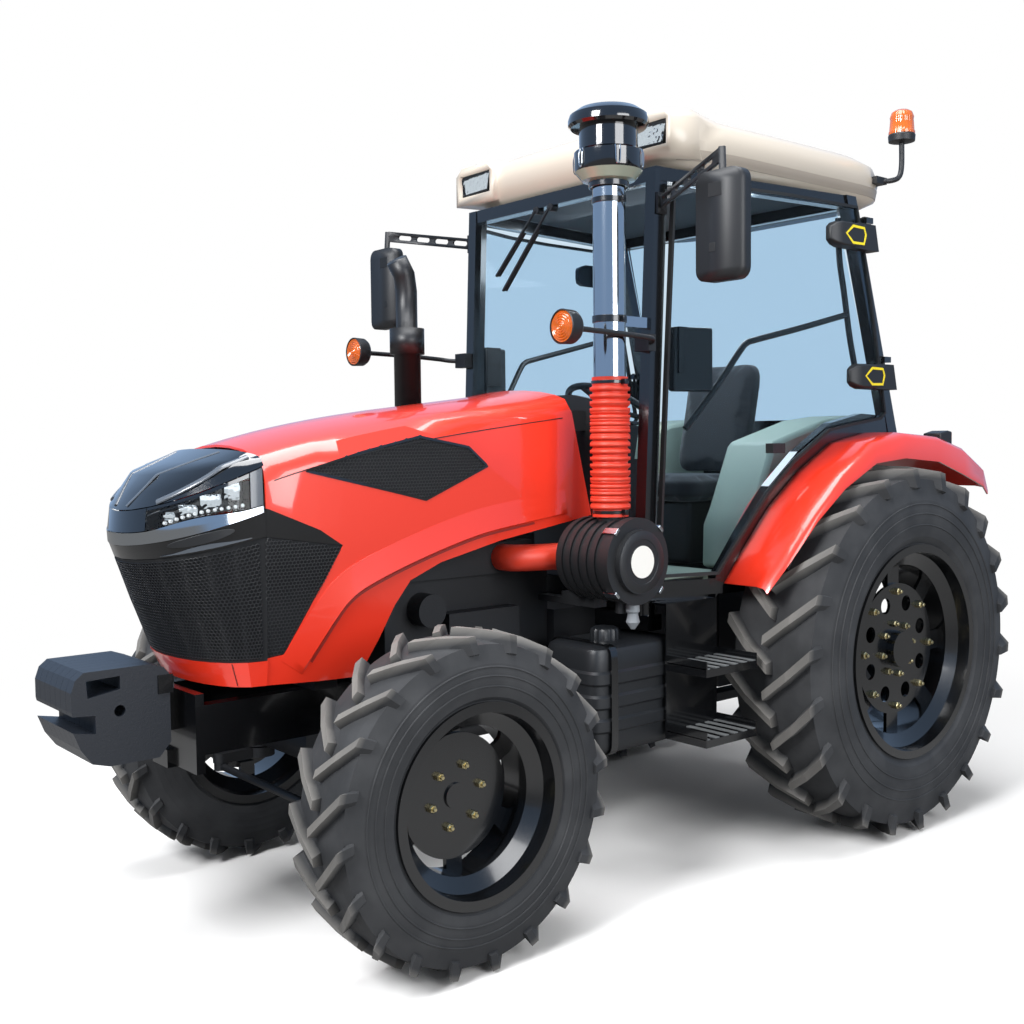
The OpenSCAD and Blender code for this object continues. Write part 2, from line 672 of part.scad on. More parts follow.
// Cowl between the bonnet and the windscreen, with the brackets of the bonnet's hinge.
hinge_x = 1330;
hinge_z = 1800;
hinge_pin_r = 10;
module cab_cowl() {
  side = [[pillar_in(floor_top), 1.3], [pillar_in(floor_top + cowl_sill), cowl_sill], [380, cowl_sill]];
  right = concat(side, cowl_dome);
  n = len(right);
  color(black) place() {
    front_wall(40) polygon(concat(right, [for (i = [n - 1 : -1 : 0]) [-right[i][0], right[i][1]]]));
    for (s = [-1, 1]) difference() {
      union() {
        block([1140, s * 200 - 15, hinge_z - 60], [hinge_x, s * 200 + 15, hinge_z + 22]);
        translate([hinge_x, s * 200 - 15, hinge_z]) along_y() cylinder(r = 22, h = 30, $fn = 32);
      }
      translate([hinge_x, s * 200 - 20, hinge_z]) along_y() cylinder(r = hinge_pin_r + fit_gap, h = 40,
        $fn = 48);
    }
  }
}

// Roof with rounded edges, overhanging the cab all round, with a lamp pod in each front corner.
lamp_low = [1076, 424, 2824];
lamp_high = [1122, 642, 2924];
module roof() {
  rows = [[roof_low, 62], [roof_low + 26, 14], [lerp(roof_low, roof_top, 0.45), 0],
    [roof_top - 70, 22], [roof_top - 26, 84], [roof_top - 8, 180], [roof_top, 330]];
  function roof_ring(z, inset) = [for (a = [0 : 10 : 350])
    let (c = cos(a), s = sin(a), half = lerp(700, 655, (c + 1) / 2))
      [360 + (sign(c) * pow(abs(c), 0.3)) * (755 - inset), sign(s) * pow(abs(s), 0.3) * (half - inset), z]];
  function pod_ring(x, y0, y1, z0, z1) = [[x, y0, z0], [x, y1, z0], [x, y1, lerp(z0, z1, 0.8)],
    [x, lerp(y0, y1, 0.85), z1], [x, lerp(y0, y1, 0.2), z1], [x, y0, lerp(z0, z1, 0.7)]];
  color(beige) place() difference() {
    union() {
      loft([for (r = rows) roof_ring(r[0], r[1])]);
      both() loft([pod_ring(640, 370, 600, 2800, 2960), pod_ring(940, 380, 645, 2790, 2988),
        pod_ring(1128, 392, 668, 2786, 2956)]);
    }
    both() block(lamp_low, lamp_high + [40, 0, 0]);
    block([-290.3, 599.7, 2844.7], [-209.7, 760, 2875.3]);
  }
}

// Windscreen with its lower side lights, and the rear window.
module cab_glass() {
  top = (header - 54.4 - floor_top) / cos(pillar_lean);
  low = cowl_sill + 0.3;
  notch = concat([[380.3, low]], [for (p = cowl_dome) p + [0.2, 0.3]]);
  right = concat([[pillar_in(floor_top + top) - 0.2, top], [pillar_in(floor_top + low) - 0.2, low]], notch);
  n = len(right);
  glass_top = header - 54.4;
  color(glass_tint) place() {
    front_wall(pane) polygon(concat(right, [for (i = [n - 1 : -1 : 0]) [-right[i][0], right[i][1]]]));
    back = [for (s = [-1, 1]) [for (e = [[1790.4, -258, 28.3], [glass_top, 22, 60.3]])
      [e[1], s * (cab_rear_half - 28 - e[2] - 26), e[0]]]];
    sheet(back, [for (row = back) [for (p = row) p + [pane, 0, 0]]]);
  }
}

// Door outline in side view from the sill to the roof: [z, front x, rear x].
door_rows = [[1165, 1128, 868], [1290, 1122, 780], [1480, 1112, 616], [1600, 1106, 478], [1740, 1099, 228],
  [1790, 1096, -168], [2000, 1086, -118], [2300, 1072, -50], [2640, 1056, 45], [2690, 1050, 60]];
door_gap = 10;

// Bowed glass door.
module door_left() {
  outer = [for (row = door_rows) [for (i = [0 : 6])
    let (x = lerp(row[1], row[2], i / 6)) [x, cab_half(x) + door_gap + pane, row[0]]]];
  color(glass_tint) place() sheet(outer, [for (row = outer) [for (p = row) p - [0, pane, 0]]]);
}

module door_right() {
  mirror([0, 1, 0]) door_left();
}

// The doors' hinge line leans forward, so a door rises as it opens.
door_hinges = [1966, 2560];
door_axis_y = 765;
door_pin_r = 8;
function door_axis_x(z) = -165 + 148 * (z - 1966) / 597;
module door_pin(z, r) {
  bar([door_axis_x(z - 20), door_axis_y, z - 20], [door_axis_x(z + 96), door_axis_y, z + 96], r, 32);
}

// Hinge covers with their pins, latch box and handle of a door.
door_skin = door_gap + pane + 0.3;
module door_left_fittings() {
  color(black) place() {
    for (z = door_hinges) let (x = door_axis_x(z), y = cab_half(x + 26) + door_skin) {
      loft([for (e = [[2, 55, 44], [118, 55, 44], [150, 46, 36], [174, 28, 18]])
        [[x + e[0], y, z - e[1]], [x + e[0], y + e[2], z - e[1]], [x + e[0], y + e[2], z + e[1]],
          [x + e[0], y, z + e[1]]]]);
      post([door_axis_x(z - 55) + 2.5, (door_axis_y - 14 + y + 44) / 2, z - 55],
        [door_axis_x(z + 55) + 2.5, (door_axis_y - 14 + y + 44) / 2, z + 55], 33, y + 58 - door_axis_y);
      door_pin(z, door_pin_r);
    }
    block([950, cab_half(1030) - 36, 1960], [1030, cab_half(1030) + door_gap - 0.3, 2140]);
    block([560, cab_half(560) + door_skin - 2.9, 1640], [640, cab_half(560) + door_skin + 34, 1680]);
  }
}

module door_right_fittings() {
  mirror([0, 1, 0]) door_left_fittings();
}

// Seat: base, cushion and back.
module seat() {
  color(black) place() {
    block([120, -180, floor_top + 0.3], [480, 180, 1421]);
    block([80, -250, 1420], [560, 250, 1540]);
    loft([for (e = [[60, 1500], [-60, 2080]])
      [[e[0], -240, e[1]], [e[0] + 110, -240, e[1]], [e[0] + 110, 240, e[1]], [e[0], 240, e[1]]]]);
  }
}

// Steering column and instrument panel.
column_top = [880, 0, 1700];
column_lean = 30;
module dashboard() {
  color(black) place() difference() {
    union() {
      block([890, -260, floor_top + 0.3], [1090, 260, 1620]);
      loft([for (e = [[1100, 1619], [1070, 1760]])
        [[e[0] - 210, -240, e[1]], [e[0], -240, e[1]], [e[0], 240, e[1]], [e[0] - 210, 240, e[1]]]]);
      translate(column_top) rotate([0, -column_lean, 0]) translate([0, 0, -100]) cylinder(r = 45,
        h = 180, $fn = 32);
    }
    translate(column_top) rotate([0, -column_lean, 0]) translate([0, 0, 20]) cylinder(r = 15 + fit_gap,
      h = 80, $fn = 32);
  }
}

// Steering wheel on its own shaft end.
module steering_wheel() {
  color(black) place() translate(column_top) rotate([0, -column_lean, 0]) translate([0, 0, 86]) {
    translate([0, 0, -50]) cylinder(r = 15, h = 60, $fn = 32);
    cylinder(r = 40, h = 90, $fn = 32);
    translate([0, 0, 75]) rotate_extrude($fn = 64) translate([195, 0]) circle(r = 15, $fn = 24);
    for (a = [0, 120, 240]) rotate(a) translate([20, -14, 66]) cube([170, 28, 12]);
  }
}

// Side consoles over the inner walls, with the gear levers.
module inner_trim() {
  color(trim_grey) place() {
    for (s = [-1, 1]) side_plate([[560, floor_top + 0.3], [500, 1360], [300, 1480], [60, 1600],
      [-230, 1640], [-230, floor_top + 0.3]], s < 0 ? -586 : 396, 190);
    for (x = [300, 400]) translate([x, -470, 1360]) cylinder(r = 9, h = 260, $fn = 16);
  }
}

// Heights along the bonnet.
function ridge_z(x) = bonnet_rear_top - 0.1 * (x - 1290) - 80 * pow((x - 1290) / 1460, 4);
function crease_z(x) = bonnet_rear_top - 69 - 0.115 * (x - 1290) - 62 * pow((x - 1290) / 1355, 4);
hood_end = 2690;
hood_low = [[1270, 1404], [1733, 1332], [2012, 1270], [2144, 1216], [2209, 1134], [2273, 1019], [2349, 900],
  [2500, 904], [hood_end, 914]];
function side_half(x, z) = bonnet_half - 22 * pow(max(0, x - 2100) / 590, 2)
  - 24 * pow(max(0, 1300 - z) / 400, 1.3);

// One cross-section of the bonnet at x, from the left edge over the ridge to the right edge.
function hood_section(x, inset) =
  let (
    low = lookup(x, hood_low), crease = crease_z(x) - inset, ridge = ridge_z(x) - inset,
    half = [for (t = [0, 0.35, 0.7, 1]) let (z = lerp(low, crease - 30, t)) [side_half(x, z) - inset, z]],
    crown = [for (a = [20 : 17.5 : 90]) [(half[3][0] - 4) * cos(a), lerp(crease, ridge, sin(a))]],
    left = concat(half, [for (p = crown) p]))
    concat([for (p = left) [x + rear_lean(x, p[1]), p[0], p[1]]],
      [for (i = [len(left) - 2 : -1 : 0]) [x + rear_lean(x, left[i][1]), -left[i][0], left[i][1]]]);
function rear_lean(x, z) = 0.25 * (z - 1404) * max(0, 1 - (x - 1270) / 300);

module hood_shell() {
  rows = [1270, 1500, 1733, 2012, 2144, 2209, 2273, 2349, 2420, 2500, 2600, hood_end];
  sheet([for (x = rows) hood_section(x, 0)], [for (x = rows) hood_section(x, bonnet_wall)]);
}

// Outline of the side window in the bonnet for the grille, as [x, z].
grille_side = [[2414, 1355], [2498, 1411], [2680, 1488], [hood_end + 20, 1495], [hood_end + 20, 1000],
  [2630, 1009]];
wing_side = [[2414, 1355], [2498, 1411], [2680, 1488], [hood_end + 20, 1494], [hood_end + 20, 1402]];
mesh_side = [[2414, 1354.7], [hood_end + 20, 1401.7], [hood_end + 20, 1000], [2630, 1009]];
vent_side = [[2550, 1608], [2330, 1672], [2100, 1722], [1880, 1682], [1790, 1608], [2075, 1492],
  [2190, 1520]];

// Bonnet shell with its side openings, and the lip below the nose.
module hood() {
  color(paint_red) place() {
    difference() {
      hood_shell();
      side_plate(grille_side, -450, 900);
      side_plate(vent_side, -450, 900);
    }
    nose_band(0, 1, 0, bonnet_wall);
    for (s = [-1, 1]) {
      translate([hinge_x, s * 222 - 7, hinge_z]) along_y() cylinder(r = 20, h = 14, $fn = 32);
      block([hinge_x, s * 222 - 7, hinge_z - 16], [1500, s * 222 + 7, hinge_z + 16]);
      block([1440, s * 222 - 7, hinge_z], [1500, s * 222 + 7, 1870]);
      translate([hinge_x, s * 204 - 19, hinge_z]) along_y() cylinder(r = hinge_pin_r, h = 38, $fn = 48);
    }
  }
}

// Rows of the nose from the lip to the ridge: [row, side z, side half, front x, front z].
nose_rows = [[0, 914, 326, 2849, 915], [1, 996, 336, nose_reach - 155, 997],
  [2, 1190, 344, nose_reach - 78, 1180], [3, 1400, 344, nose_reach - 20, 1330],
  [4, 1480, 344, nose_reach - 3, 1374], [5, 1502, 342, nose_reach, 1416],
  [6, 1628, 336, nose_reach - 10, 1488], [7, 1650, 322, nose_reach - 90, 1600], [8, 1660, 300, 2752, 1684]];
nose_side_x = hood_end + 0.4;
seam = 0.004;
function nose_point(t, a, inset) = let (
  w = pick(nose_rows, 2, t) - inset, sz = pick(nose_rows, 1, t), fx = pick(nose_rows, 3, t) - inset,
  fz = pick(nose_rows, 4, t), c = pow(cos(a), 0.85))
    [lerp(nose_side_x, fx, c), w * sin(a), lerp(sz, fz, c) - inset * max(0, min(1, t - 6))];
module nose_band(t0, t1, inset, wall, steps = 2) {
  rows = [for (i = [0 : steps]) lerp(t0, t1, i / steps)];
  angles = [-90 : 15 : 90];
  sheet([for (t = rows) [for (a = angles) nose_point(t, a, inset)]],
    [for (t = rows) [for (a = angles) nose_point(t, a, inset + wall)]]);
}

// Black nose: brow, beak and their side wings.
module nose() {
  color(black) place() {
    nose_band(6 + seam, 8, 0, bonnet_wall, 4);
    nose_band(3 + seam, 4 - seam, 0, bonnet_wall, 2);
    both() intersection() {
      hood_inset(1, 6);
      side_plate(offset_shape(wing_side, 0.4), 200, 300);
    }
  }
}

// Grille mesh round the nose, with the side vents.
module grilles() {
  color("#232427") place() {
    nose_band(1 + seam, 3 - seam, 3, 4, 3);
    both() {
      intersection() {
        hood_inset(3, 4);
        side_plate(offset_shape(mesh_side, 0.8), 200, 300);
      }
      intersection() {
        hood_inset(2, 4);
        side_plate(offset_shape(vent_side, 0.4), 200, 300);
      }
    }
  }
}
module hood_inset(inset, wall) {
  rows = [1733, 2012, 2144, 2273, 2349, 2420, 2500, 2600, hood_end];
  sheet([for (x = rows) hood_section(x, inset)], [for (x = rows) hood_section(x, inset + wall)]);
}
// A convex outline drawn in towards its middle by about d.
function offset_shape(line, d) = let (c = total([for (p = line) p[0]]) / len(line),
  e = total([for (p = line) p[1]]) / len(line))
  [for (p = line) p - d * unit(p - [c, e])];

// Headlamp band with the bright strip below it.
module headlamps() {
  color(chrome) place() {
    nose_band(5 + seam, 6 - seam, 1, 6, 2);
    nose_band(4 + seam, 5 - seam, 0, 6, 1);
  }
}

// A rectangle with rounded corners about its middle.
function rounded(w, h, r) = [for (q = [0 : 3]) for (a = [0 : 22.5 : 90])
  let (sx = q == 0 || q == 3 ? 1 : -1, sy = q < 2 ? 1 : -1)
    [sx * (w / 2 - r), sy * (h / 2 - r)] + r * [cos(90 * q + a), sin(90 * q + a)]];

// Mirrors on pressed arms with lightening slots.
mirror_at = [1272, 1040, 2440];
module mirrors() {
  root = [pillar_x(2610) + 4, cab_front_half + 5.8, 2610];
  tip = [1266, 1030, 2690];
  d = tip - root;
  color(black) place() both() {
    translate(root) rotate([0, 0, atan2(d[1], d[0])]) rotate([0, -asin(d[2] / norm(d)), 0]) difference() {
      block([8, -6, -24], [norm(d), 6, 24]);
      for (i = [0 : 3]) translate([70 + 105 * i, 7, 0]) rotate([90, 0, 0])
        linear_extrude(14) polygon(rounded(78, 22, 10.9));
    }
    block(root - [26, 0, 40], root + [26, 12, 40]);
    bar(tip + [2, 2, 22], mirror_at + [0, 0, 150], 13);
    translate(mirror_at - [28, 0, 0]) rotate([90, 0, 90]) linear_extrude(56) polygon(rounded(200, 380, 40));
  }
}

// Amber lamps: turn signals on their arms and the beacon on its stalk.
module amber_lamps() {
  face = pillar_face(2040) + 0.3;
  color(amber) place() {
    both() {
      block([face, 535, 2040], [face + 40, 610, 2104]);
      pipe([[face + 20, 600, 2072], [face + 50, 640, 2075], [1250, 664, 2082], [1420, 666, 2090],
        [1640, 674, 2096]], 10, 8);
      translate([1636, 674, 2098]) rotate([0, 90, 0]) cylinder(r = 62, h = 74, $fn = 32);
    }
    block([-290, 600, 2845], [-210, 690, 2875]);
    pipe([[-270, 680, 2860], [-300, 705, 2862], [-340, 719, 2880], [-360, 720, 2930],
      [-360, 720, 3050]], 12, 8);
    translate([-360, 720, 3039]) cylinder(r = 60, h = 36, $fn = 32);
    translate([-360, 720, 3074]) cylinder(r1 = 56, r2 = 46, h = 110, $fn = 32);
  }
}

// Roof lamps and tail lamps.
module work_lamps() {
  function tail_z(x) = lookup(x, [[-504, 1655], [-291, 1706]]) + 35.3;
  color(chrome) place() both() {
    block(lamp_low + [0.3, 0.4, 0.4], lamp_high - [0, 0.4, 0.4]);
    rail([-400, 860, tail_z(-400)], [-500, 860, tail_z(-500)], 90, 70);
  }
}

// Lower links of the rear hitch, joined by their cross bar. The lift arms, the rods and the links form
// a parallelogram on each side, so all of them swing through the same angle.
link_pivot = [-230, 0, 520];
link_length = 810;
rod_reach = 300;
link_y = 403;
rod_y = 372;
lift_pivot = [-345, 0, 1010];
lift_shaft_r = 34;
lift_pin_r = 12;
module lower_links() {
  link_end = link_pivot - [link_length, 0, 0];
  color(iron) place() {
    both() difference() {
      union() {
        block(link_end + [0, link_y - 11, -40], link_pivot + [0, link_y + 11, 40]);
        for (e = [link_end, link_pivot])
          translate(e + [0, link_y - 24, 0]) along_y() cylinder(r = 45, h = 48, $fn = 48);
        translate(link_pivot + [-rod_reach, rod_y - 14, 0]) along_y() cylinder(r = lift_pin_r, h = 40,
          $fn = 32);
      }
      translate(link_end + [0, link_y - 40, 0]) along_y() cylinder(r = link_bore_r, h = 80, $fn = 48);
      translate(link_pivot + [0, link_y - 40, 0]) along_y() cylinder(r = 14 + fit_gap, h = 80, $fn = 48);
    }
    bar(link_end + [160, -link_y, 0], link_end + [160, link_y, 0], 18);
  }
}

// Lift arms on their rocking shaft.
module lift_arms() {
  color(iron) place() {
    translate(lift_pivot) along_y() translate([0, 0, -352]) cylinder(r = lift_shaft_r, h = 704, $fn = 48);
    both() {
      block(lift_pivot + [-rod_reach - 30, 322, -30], lift_pivot + [0, 352, 30]);
      translate(lift_pivot + [-rod_reach, 351, 0]) along_y() cylinder(r = lift_pin_r, h = 36, $fn = 32);
    }
  }
}

// Lift rods between the arms and the lower links.
module lift_rods() {
  high = lift_pivot + [-rod_reach, rod_y, 0];
  low = link_pivot + [-rod_reach, rod_y, 0];
  color(iron) place() both() difference() {
    union() {
      for (e = [high, low]) translate(e - [0, 12, 0]) along_y() cylinder(r = 30, h = 24, $fn = 32);
      bar(high, low, 11);
    }
    for (e = [high, low])
      translate(e - [0, 20, 0]) along_y() cylinder(r = lift_pin_r + 0.3, h = 40, $fn = 32);
  }
}

// Drawbar, its carrier, the links' pins and the top-link ears.
module rear_hitch() {
  color(iron) place() {
    difference() {
      union() {
        block([-620, -45, 430], [300, 45, 470]);
        block([-290, -70, 469], [-150, 70, 559.7]);
      }
      translate([-570, 0, 400]) cylinder(r = 16, h = 100, $fn = 48);
    }
    for (s = [-1, 1]) difference() {
      block([-375, s * 45 - 8, 850], [-300.3, s * 45 + 8, 945]);
      translate([-345, s * 45 - 12, 900]) along_y() cylinder(r = 12.8, h = 24, $fn = 48);
    }
    both() {
      translate(link_pivot + [0, 229, 0]) along_y() cylinder(r = 14, h = 200, $fn = 48);
      block([-290, 190, 480], [-180, 230, 559.7]);
    }
  }
}

rear_tyre_left();
rear_tyre_right();
front_tyre_left();
front_tyre_right();
rear_rim_left();
rear_rim_right();
front_rim_left();
front_rim_right();
knuckle_left();
knuckle_right();
tie_rod();
front_axle();
transmission();
engine_block();
front_frame();
radiator();
front_weights();
fuel_tank();
battery_box();
steps();
air_cleaner();
intake_pipe();
intake_hoses();
exhaust();
cab_frame();
cab_floor();
cab_cowl();
roof();
cab_glass();
fenders();
door_left();
door_right();
door_left_fittings();
door_right_fittings();
seat();
dashboard();
steering_wheel();
inner_trim();
hood();
nose();
grilles();
headlamps();
mirrors();
amber_lamps();
work_lamps();
lower_links();
lift_arms();
lift_rods();
rear_hitch();
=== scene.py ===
# %% [markdown]
# # A farm tractor, dressed for its picture
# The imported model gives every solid, in metres, and this lesson dresses it: finishes first, then the
# trim that a solid model leaves out. Lengths below are millimetres from the foot of the rear axle
# (+X forward, +Y to the driver's left, +Z up), because that is how a tractor is drawn, and one
# function moves them into the model's own frame.

# %% Load the frame
import json

import bmesh
import bpy
import numpy as np
from mathutils import Matrix, Vector


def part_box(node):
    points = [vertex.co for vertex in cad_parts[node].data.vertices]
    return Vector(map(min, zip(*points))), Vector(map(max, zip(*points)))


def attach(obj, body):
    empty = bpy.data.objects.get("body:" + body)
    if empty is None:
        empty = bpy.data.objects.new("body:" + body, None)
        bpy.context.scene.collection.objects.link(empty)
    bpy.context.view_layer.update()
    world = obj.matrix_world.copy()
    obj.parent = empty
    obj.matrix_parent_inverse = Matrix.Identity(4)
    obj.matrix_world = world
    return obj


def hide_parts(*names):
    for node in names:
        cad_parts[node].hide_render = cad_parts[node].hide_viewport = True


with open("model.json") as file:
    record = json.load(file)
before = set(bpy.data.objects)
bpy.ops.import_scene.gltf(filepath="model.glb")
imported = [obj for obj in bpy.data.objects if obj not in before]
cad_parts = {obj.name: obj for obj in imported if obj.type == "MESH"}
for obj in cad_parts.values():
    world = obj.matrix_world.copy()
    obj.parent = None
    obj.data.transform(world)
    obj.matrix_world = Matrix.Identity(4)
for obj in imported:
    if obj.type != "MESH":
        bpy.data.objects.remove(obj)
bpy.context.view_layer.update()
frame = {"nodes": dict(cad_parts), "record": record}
nodes = frame["nodes"]

# %% [markdown]
# ## From the axle to the frame
# The model's origin is in the middle of the overall length, so x shifts by one number.

# %% Units
REAR_AXLE_TO_MIDDLE = 1090.0
METRE = 0.001
SIDES = {"left": 1.0, "right": -1.0}


def metres(points):
    """Millimetres from the rear axle's foot, shifted along X and scaled into the model's frame."""
    return (np.asarray(points, float) - (REAR_AXLE_TO_MIDDLE, 0, 0)) * METRE


def corners_of(node):
    """Lowest and highest corner of a solid, in millimetres from the rear axle's foot."""
    low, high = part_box(node)
    shift = np.array((REAR_AXLE_TO_MIDDLE, 0, 0))
    return np.array(low) / METRE + shift, np.array(high) / METRE + shift


# %% [markdown]
# ## Camera
# The picture was taken from the front left, a little above the bonnet, with a lens of about 41 mm on
# a 36 mm sensor. Place, view direction and sideways direction were fitted to the four wheels. The
# camera's matrix has the three directions as its columns, so no angles are needed.

# %% Camera
PICTURE_PX = 1024
FOCAL_PX = 1177.45
SENSOR_MM = 36.0
CAMERA_AT = (4508.0, 3739.7, 1690.6)
VIEW_DIRECTION = Vector((-0.64151, -0.76491, -0.05811)).normalized()
RIGHT_DIRECTION = Vector((-0.76577, 0.64303, -0.01037)).normalized()

camera_data = bpy.data.cameras.new("photo_camera")
camera_data.sensor_width = SENSOR_MM
camera_data.lens = SENSOR_MM * FOCAL_PX / PICTURE_PX
camera = bpy.data.objects.new("photo_camera", camera_data)
up_direction = RIGHT_DIRECTION.cross(VIEW_DIRECTION)
axes = Matrix((RIGHT_DIRECTION, up_direction, -VIEW_DIRECTION)).transposed().to_4x4()
camera.matrix_world = Matrix.Translation(Vector(metres(CAMERA_AT))) @ axes
bpy.context.scene.collection.objects.link(camera)
bpy.context.scene.camera = camera
print("lens", round(camera_data.lens, 2), "mm")

# %% [markdown]
# ## Finishes
# A finish starts from what the real surface is: enamel sprayed on sheet steel, moulded plastic, cast
# iron under thick paint, rubber, chrome. Colours are written as screen colours and turned to linear
# light once. One helper adds a shader node, and patterns are scaled from a size in millimetres.


def linear(code):
    """Linear colour of a screen colour code: the standard's straight foot, then its 2.4 power."""
    screen = np.array([int(code[i:i + 2], 16) for i in (1, 3, 5)]) / 255
    light = np.where(screen <= 0.04045, screen / 12.92, ((screen + 0.055) / 1.055) ** 2.4)
    return (*light.tolist(), 1.0)


def add(material, kind, settings=(), links=()):
    """Adds one shader node, sets its sockets or properties, and links its inputs to other nodes."""
    tree = material.node_tree
    node = tree.nodes.new(kind)
    for key, value in dict(settings).items():
        if key in node.inputs:
            node.inputs[key].default_value = value
        else:
            setattr(node, key, value)
    for key, (source, output) in dict(links).items():
        tree.links.new(source.outputs[output], node.inputs[key])
    return node


def finish(name, colour, roughness, slot, **sockets):
    """One even surface: colour, roughness and other values sit on the shader's own sockets."""
    material = bpy.data.materials.new(name)
    material.use_nodes = True
    shader = material.node_tree.nodes["Principled BSDF"]
    shader.inputs["Base Color"].default_value = linear(colour)
    shader.inputs["Roughness"].default_value = roughness
    for key, value in sockets.items():
        shader.inputs[key.replace("_", " ")].default_value = value
    return material


def grain(material, size_mm, depth_mm, detail=2.0):
    """Bumps of a given width and depth over the whole surface, from noise on object coordinates."""
    place = add(material, "ShaderNodeTexCoord")
    noise = add(material, "ShaderNodeTexNoise", {"Scale": 1 / (size_mm * METRE), "Detail": detail},
                {"Vector": (place, "Object")})
    bump = add(material, "ShaderNodeBump", {"Strength": 1.0, "Distance": depth_mm * METRE},
               {"Height": (noise, "Fac")})
    shader = material.node_tree.nodes["Principled BSDF"]
    material.node_tree.links.new(bump.outputs["Normal"], shader.inputs["Normal"])
    return material


def dusted(material, clean, dusty, size_mm):
    """The colour drifts between clean and dusty in soft patches of a given size."""
    place = add(material, "ShaderNodeTexCoord")
    noise = add(material, "ShaderNodeTexNoise", {"Scale": 1 / (size_mm * METRE), "Detail": 4.0},
                {"Vector": (place, "Object")})
    ramp = add(material, "ShaderNodeValToRGB", links={"Fac": (noise, "Fac")})
    ramp.color_ramp.elements[0].position = 0.38
    ramp.color_ramp.elements[0].color = linear(clean)
    ramp.color_ramp.elements[1].position = 0.72
    ramp.color_ramp.elements[1].color = linear(dusty)
    shader = material.node_tree.nodes["Principled BSDF"]
    material.node_tree.links.new(ramp.outputs["Color"], shader.inputs["Base Color"])
    return material


def painted_lug_highlight(material, end, lug_height, colour):
    """A painted highlight: the colour grows lighter up the lugs, by the distance from the axle, seen from the
    side.
    """
    low, high = corners_of(f"{end}_rim_left")
    centre = (low + high) / 2
    radius = corners_of(f"{end}_tyre_left")[1][2] - centre[2]
    place = add(material, "ShaderNodeTexCoord")
    arm = add(material, "ShaderNodeVectorMath", {"operation": "SUBTRACT"}, {0: (place, "Object")})
    arm.inputs[1].default_value = metres(centre)
    flat = add(material, "ShaderNodeVectorMath", {"operation": "MULTIPLY"}, {0: (arm, "Vector")})
    flat.inputs[1].default_value = (1, 0, 1)
    reach = add(material, "ShaderNodeVectorMath", {"operation": "LENGTH"}, {0: (flat, "Vector")})
    share = add(material, "ShaderNodeMapRange", {"From Min": (radius - lug_height) * METRE,
                                                 "From Max": radius * METRE}, {"Value": (reach, "Value")})
    shader = material.node_tree.nodes["Principled BSDF"]
    body_colour = shader.inputs["Base Color"].links[0].from_node
    mix = add(material, "ShaderNodeMixRGB", {"Color2": linear(colour)},
              {"Fac": (share, "Result"), "Color1": (body_colour, "Color")})
    material.node_tree.links.new(mix.outputs["Color"], shader.inputs["Base Color"])
    return material


def tyre_rubber(name):
    """Dull black rubber with a fine grain and soft patches of dust."""
    rubber = grain(finish(name, "#232426", 0.70, "tyre_rubber"), 3, 0.25)
    return dusted(rubber, "#252628", "#37383A", 160)


# %% [markdown]
# ## The tractor's own finishes
# Enamel has a clear, wet-looking top, so it gets a coat. Moulded plastic and rubber scatter light
# from a fine grain, drawn here about twice as coarse as the real one so that it shows.

# %% Paints, plastics and metals
# Enamel on sheet steel: a deep colour under a wet shine. Its dull dark red copy is painted shadow below the
# arch crease.
red_enamel = finish("red_enamel", "#E2341F", 0.30, "orange_red", Coat_Weight=0.9, Coat_Roughness=0.05)
painted_red_shadow = finish("painted_shadow_red_enamel", "#8A1C12", 0.5, "orange_red")
black_enamel = finish("black_enamel", "#0A0B0D", 0.22, "black_enamel", Coat_Weight=0.6, Coat_Roughness=0.08)
heat_black = grain(finish("heat_proof_black", "#131416", 0.42, "black_enamel"), 3, 0.1)

# Painted cast iron: the sand of the mould leaves a coarse skin that breaks up the highlight.
charcoal_casting = grain(finish("charcoal_casting", "#121316", 0.50, "cast_iron"), 5, 0.5)
slate_casting = grain(finish("slate_casting", "#1B1F26", 0.42, "weight_iron"), 6, 0.5)

# Moulded plastic: an even half shine where it is grained, a sharp one where the mould was polished.
tank_plastic = grain(finish("moulded_tank_plastic", "#191B1E", 0.44, "black_plastic"), 3, 0.2)
grained_plastic = grain(finish("grained_plastic", "#17181A", 0.48, "black_plastic"), 2.5, 0.15)
gloss_plastic = finish("gloss_black_plastic", "#07080B", 0.12, "gloss_black", Coat_Weight=1.0,
                       Coat_Roughness=0.03)
# Painted highlight: this grey on the nose's ridges and beak strip stands in for shine on gloss black; at the
# lamps' rear ends it is grey trim.
graphite_trim_and_painted_highlight = finish("graphite_trim_and_painted_highlight", "#4A5058", 0.26, "gloss_black", Coat_Weight=0.6, Coat_Roughness=0.08)
bowl_plastic = finish("green_clear_plastic", "#B9C4B0", 0.22, "lamp_chrome", Transmission_Weight=0.4,
                      Coat_Weight=0.5)
roof_plastic = finish("beige_roof_plastic", "#BDB4A7", 0.38, "roof_beige", Coat_Weight=0.3,
                      Coat_Roughness=0.10)
roof_shade = finish("shaded_roof_plastic", "#8F867B", 0.42, "roof_beige")
console_plastic = grain(finish("grey_green_plastic", "#A3B0A2", 0.50, "grey_trim"), 3, 0.2)
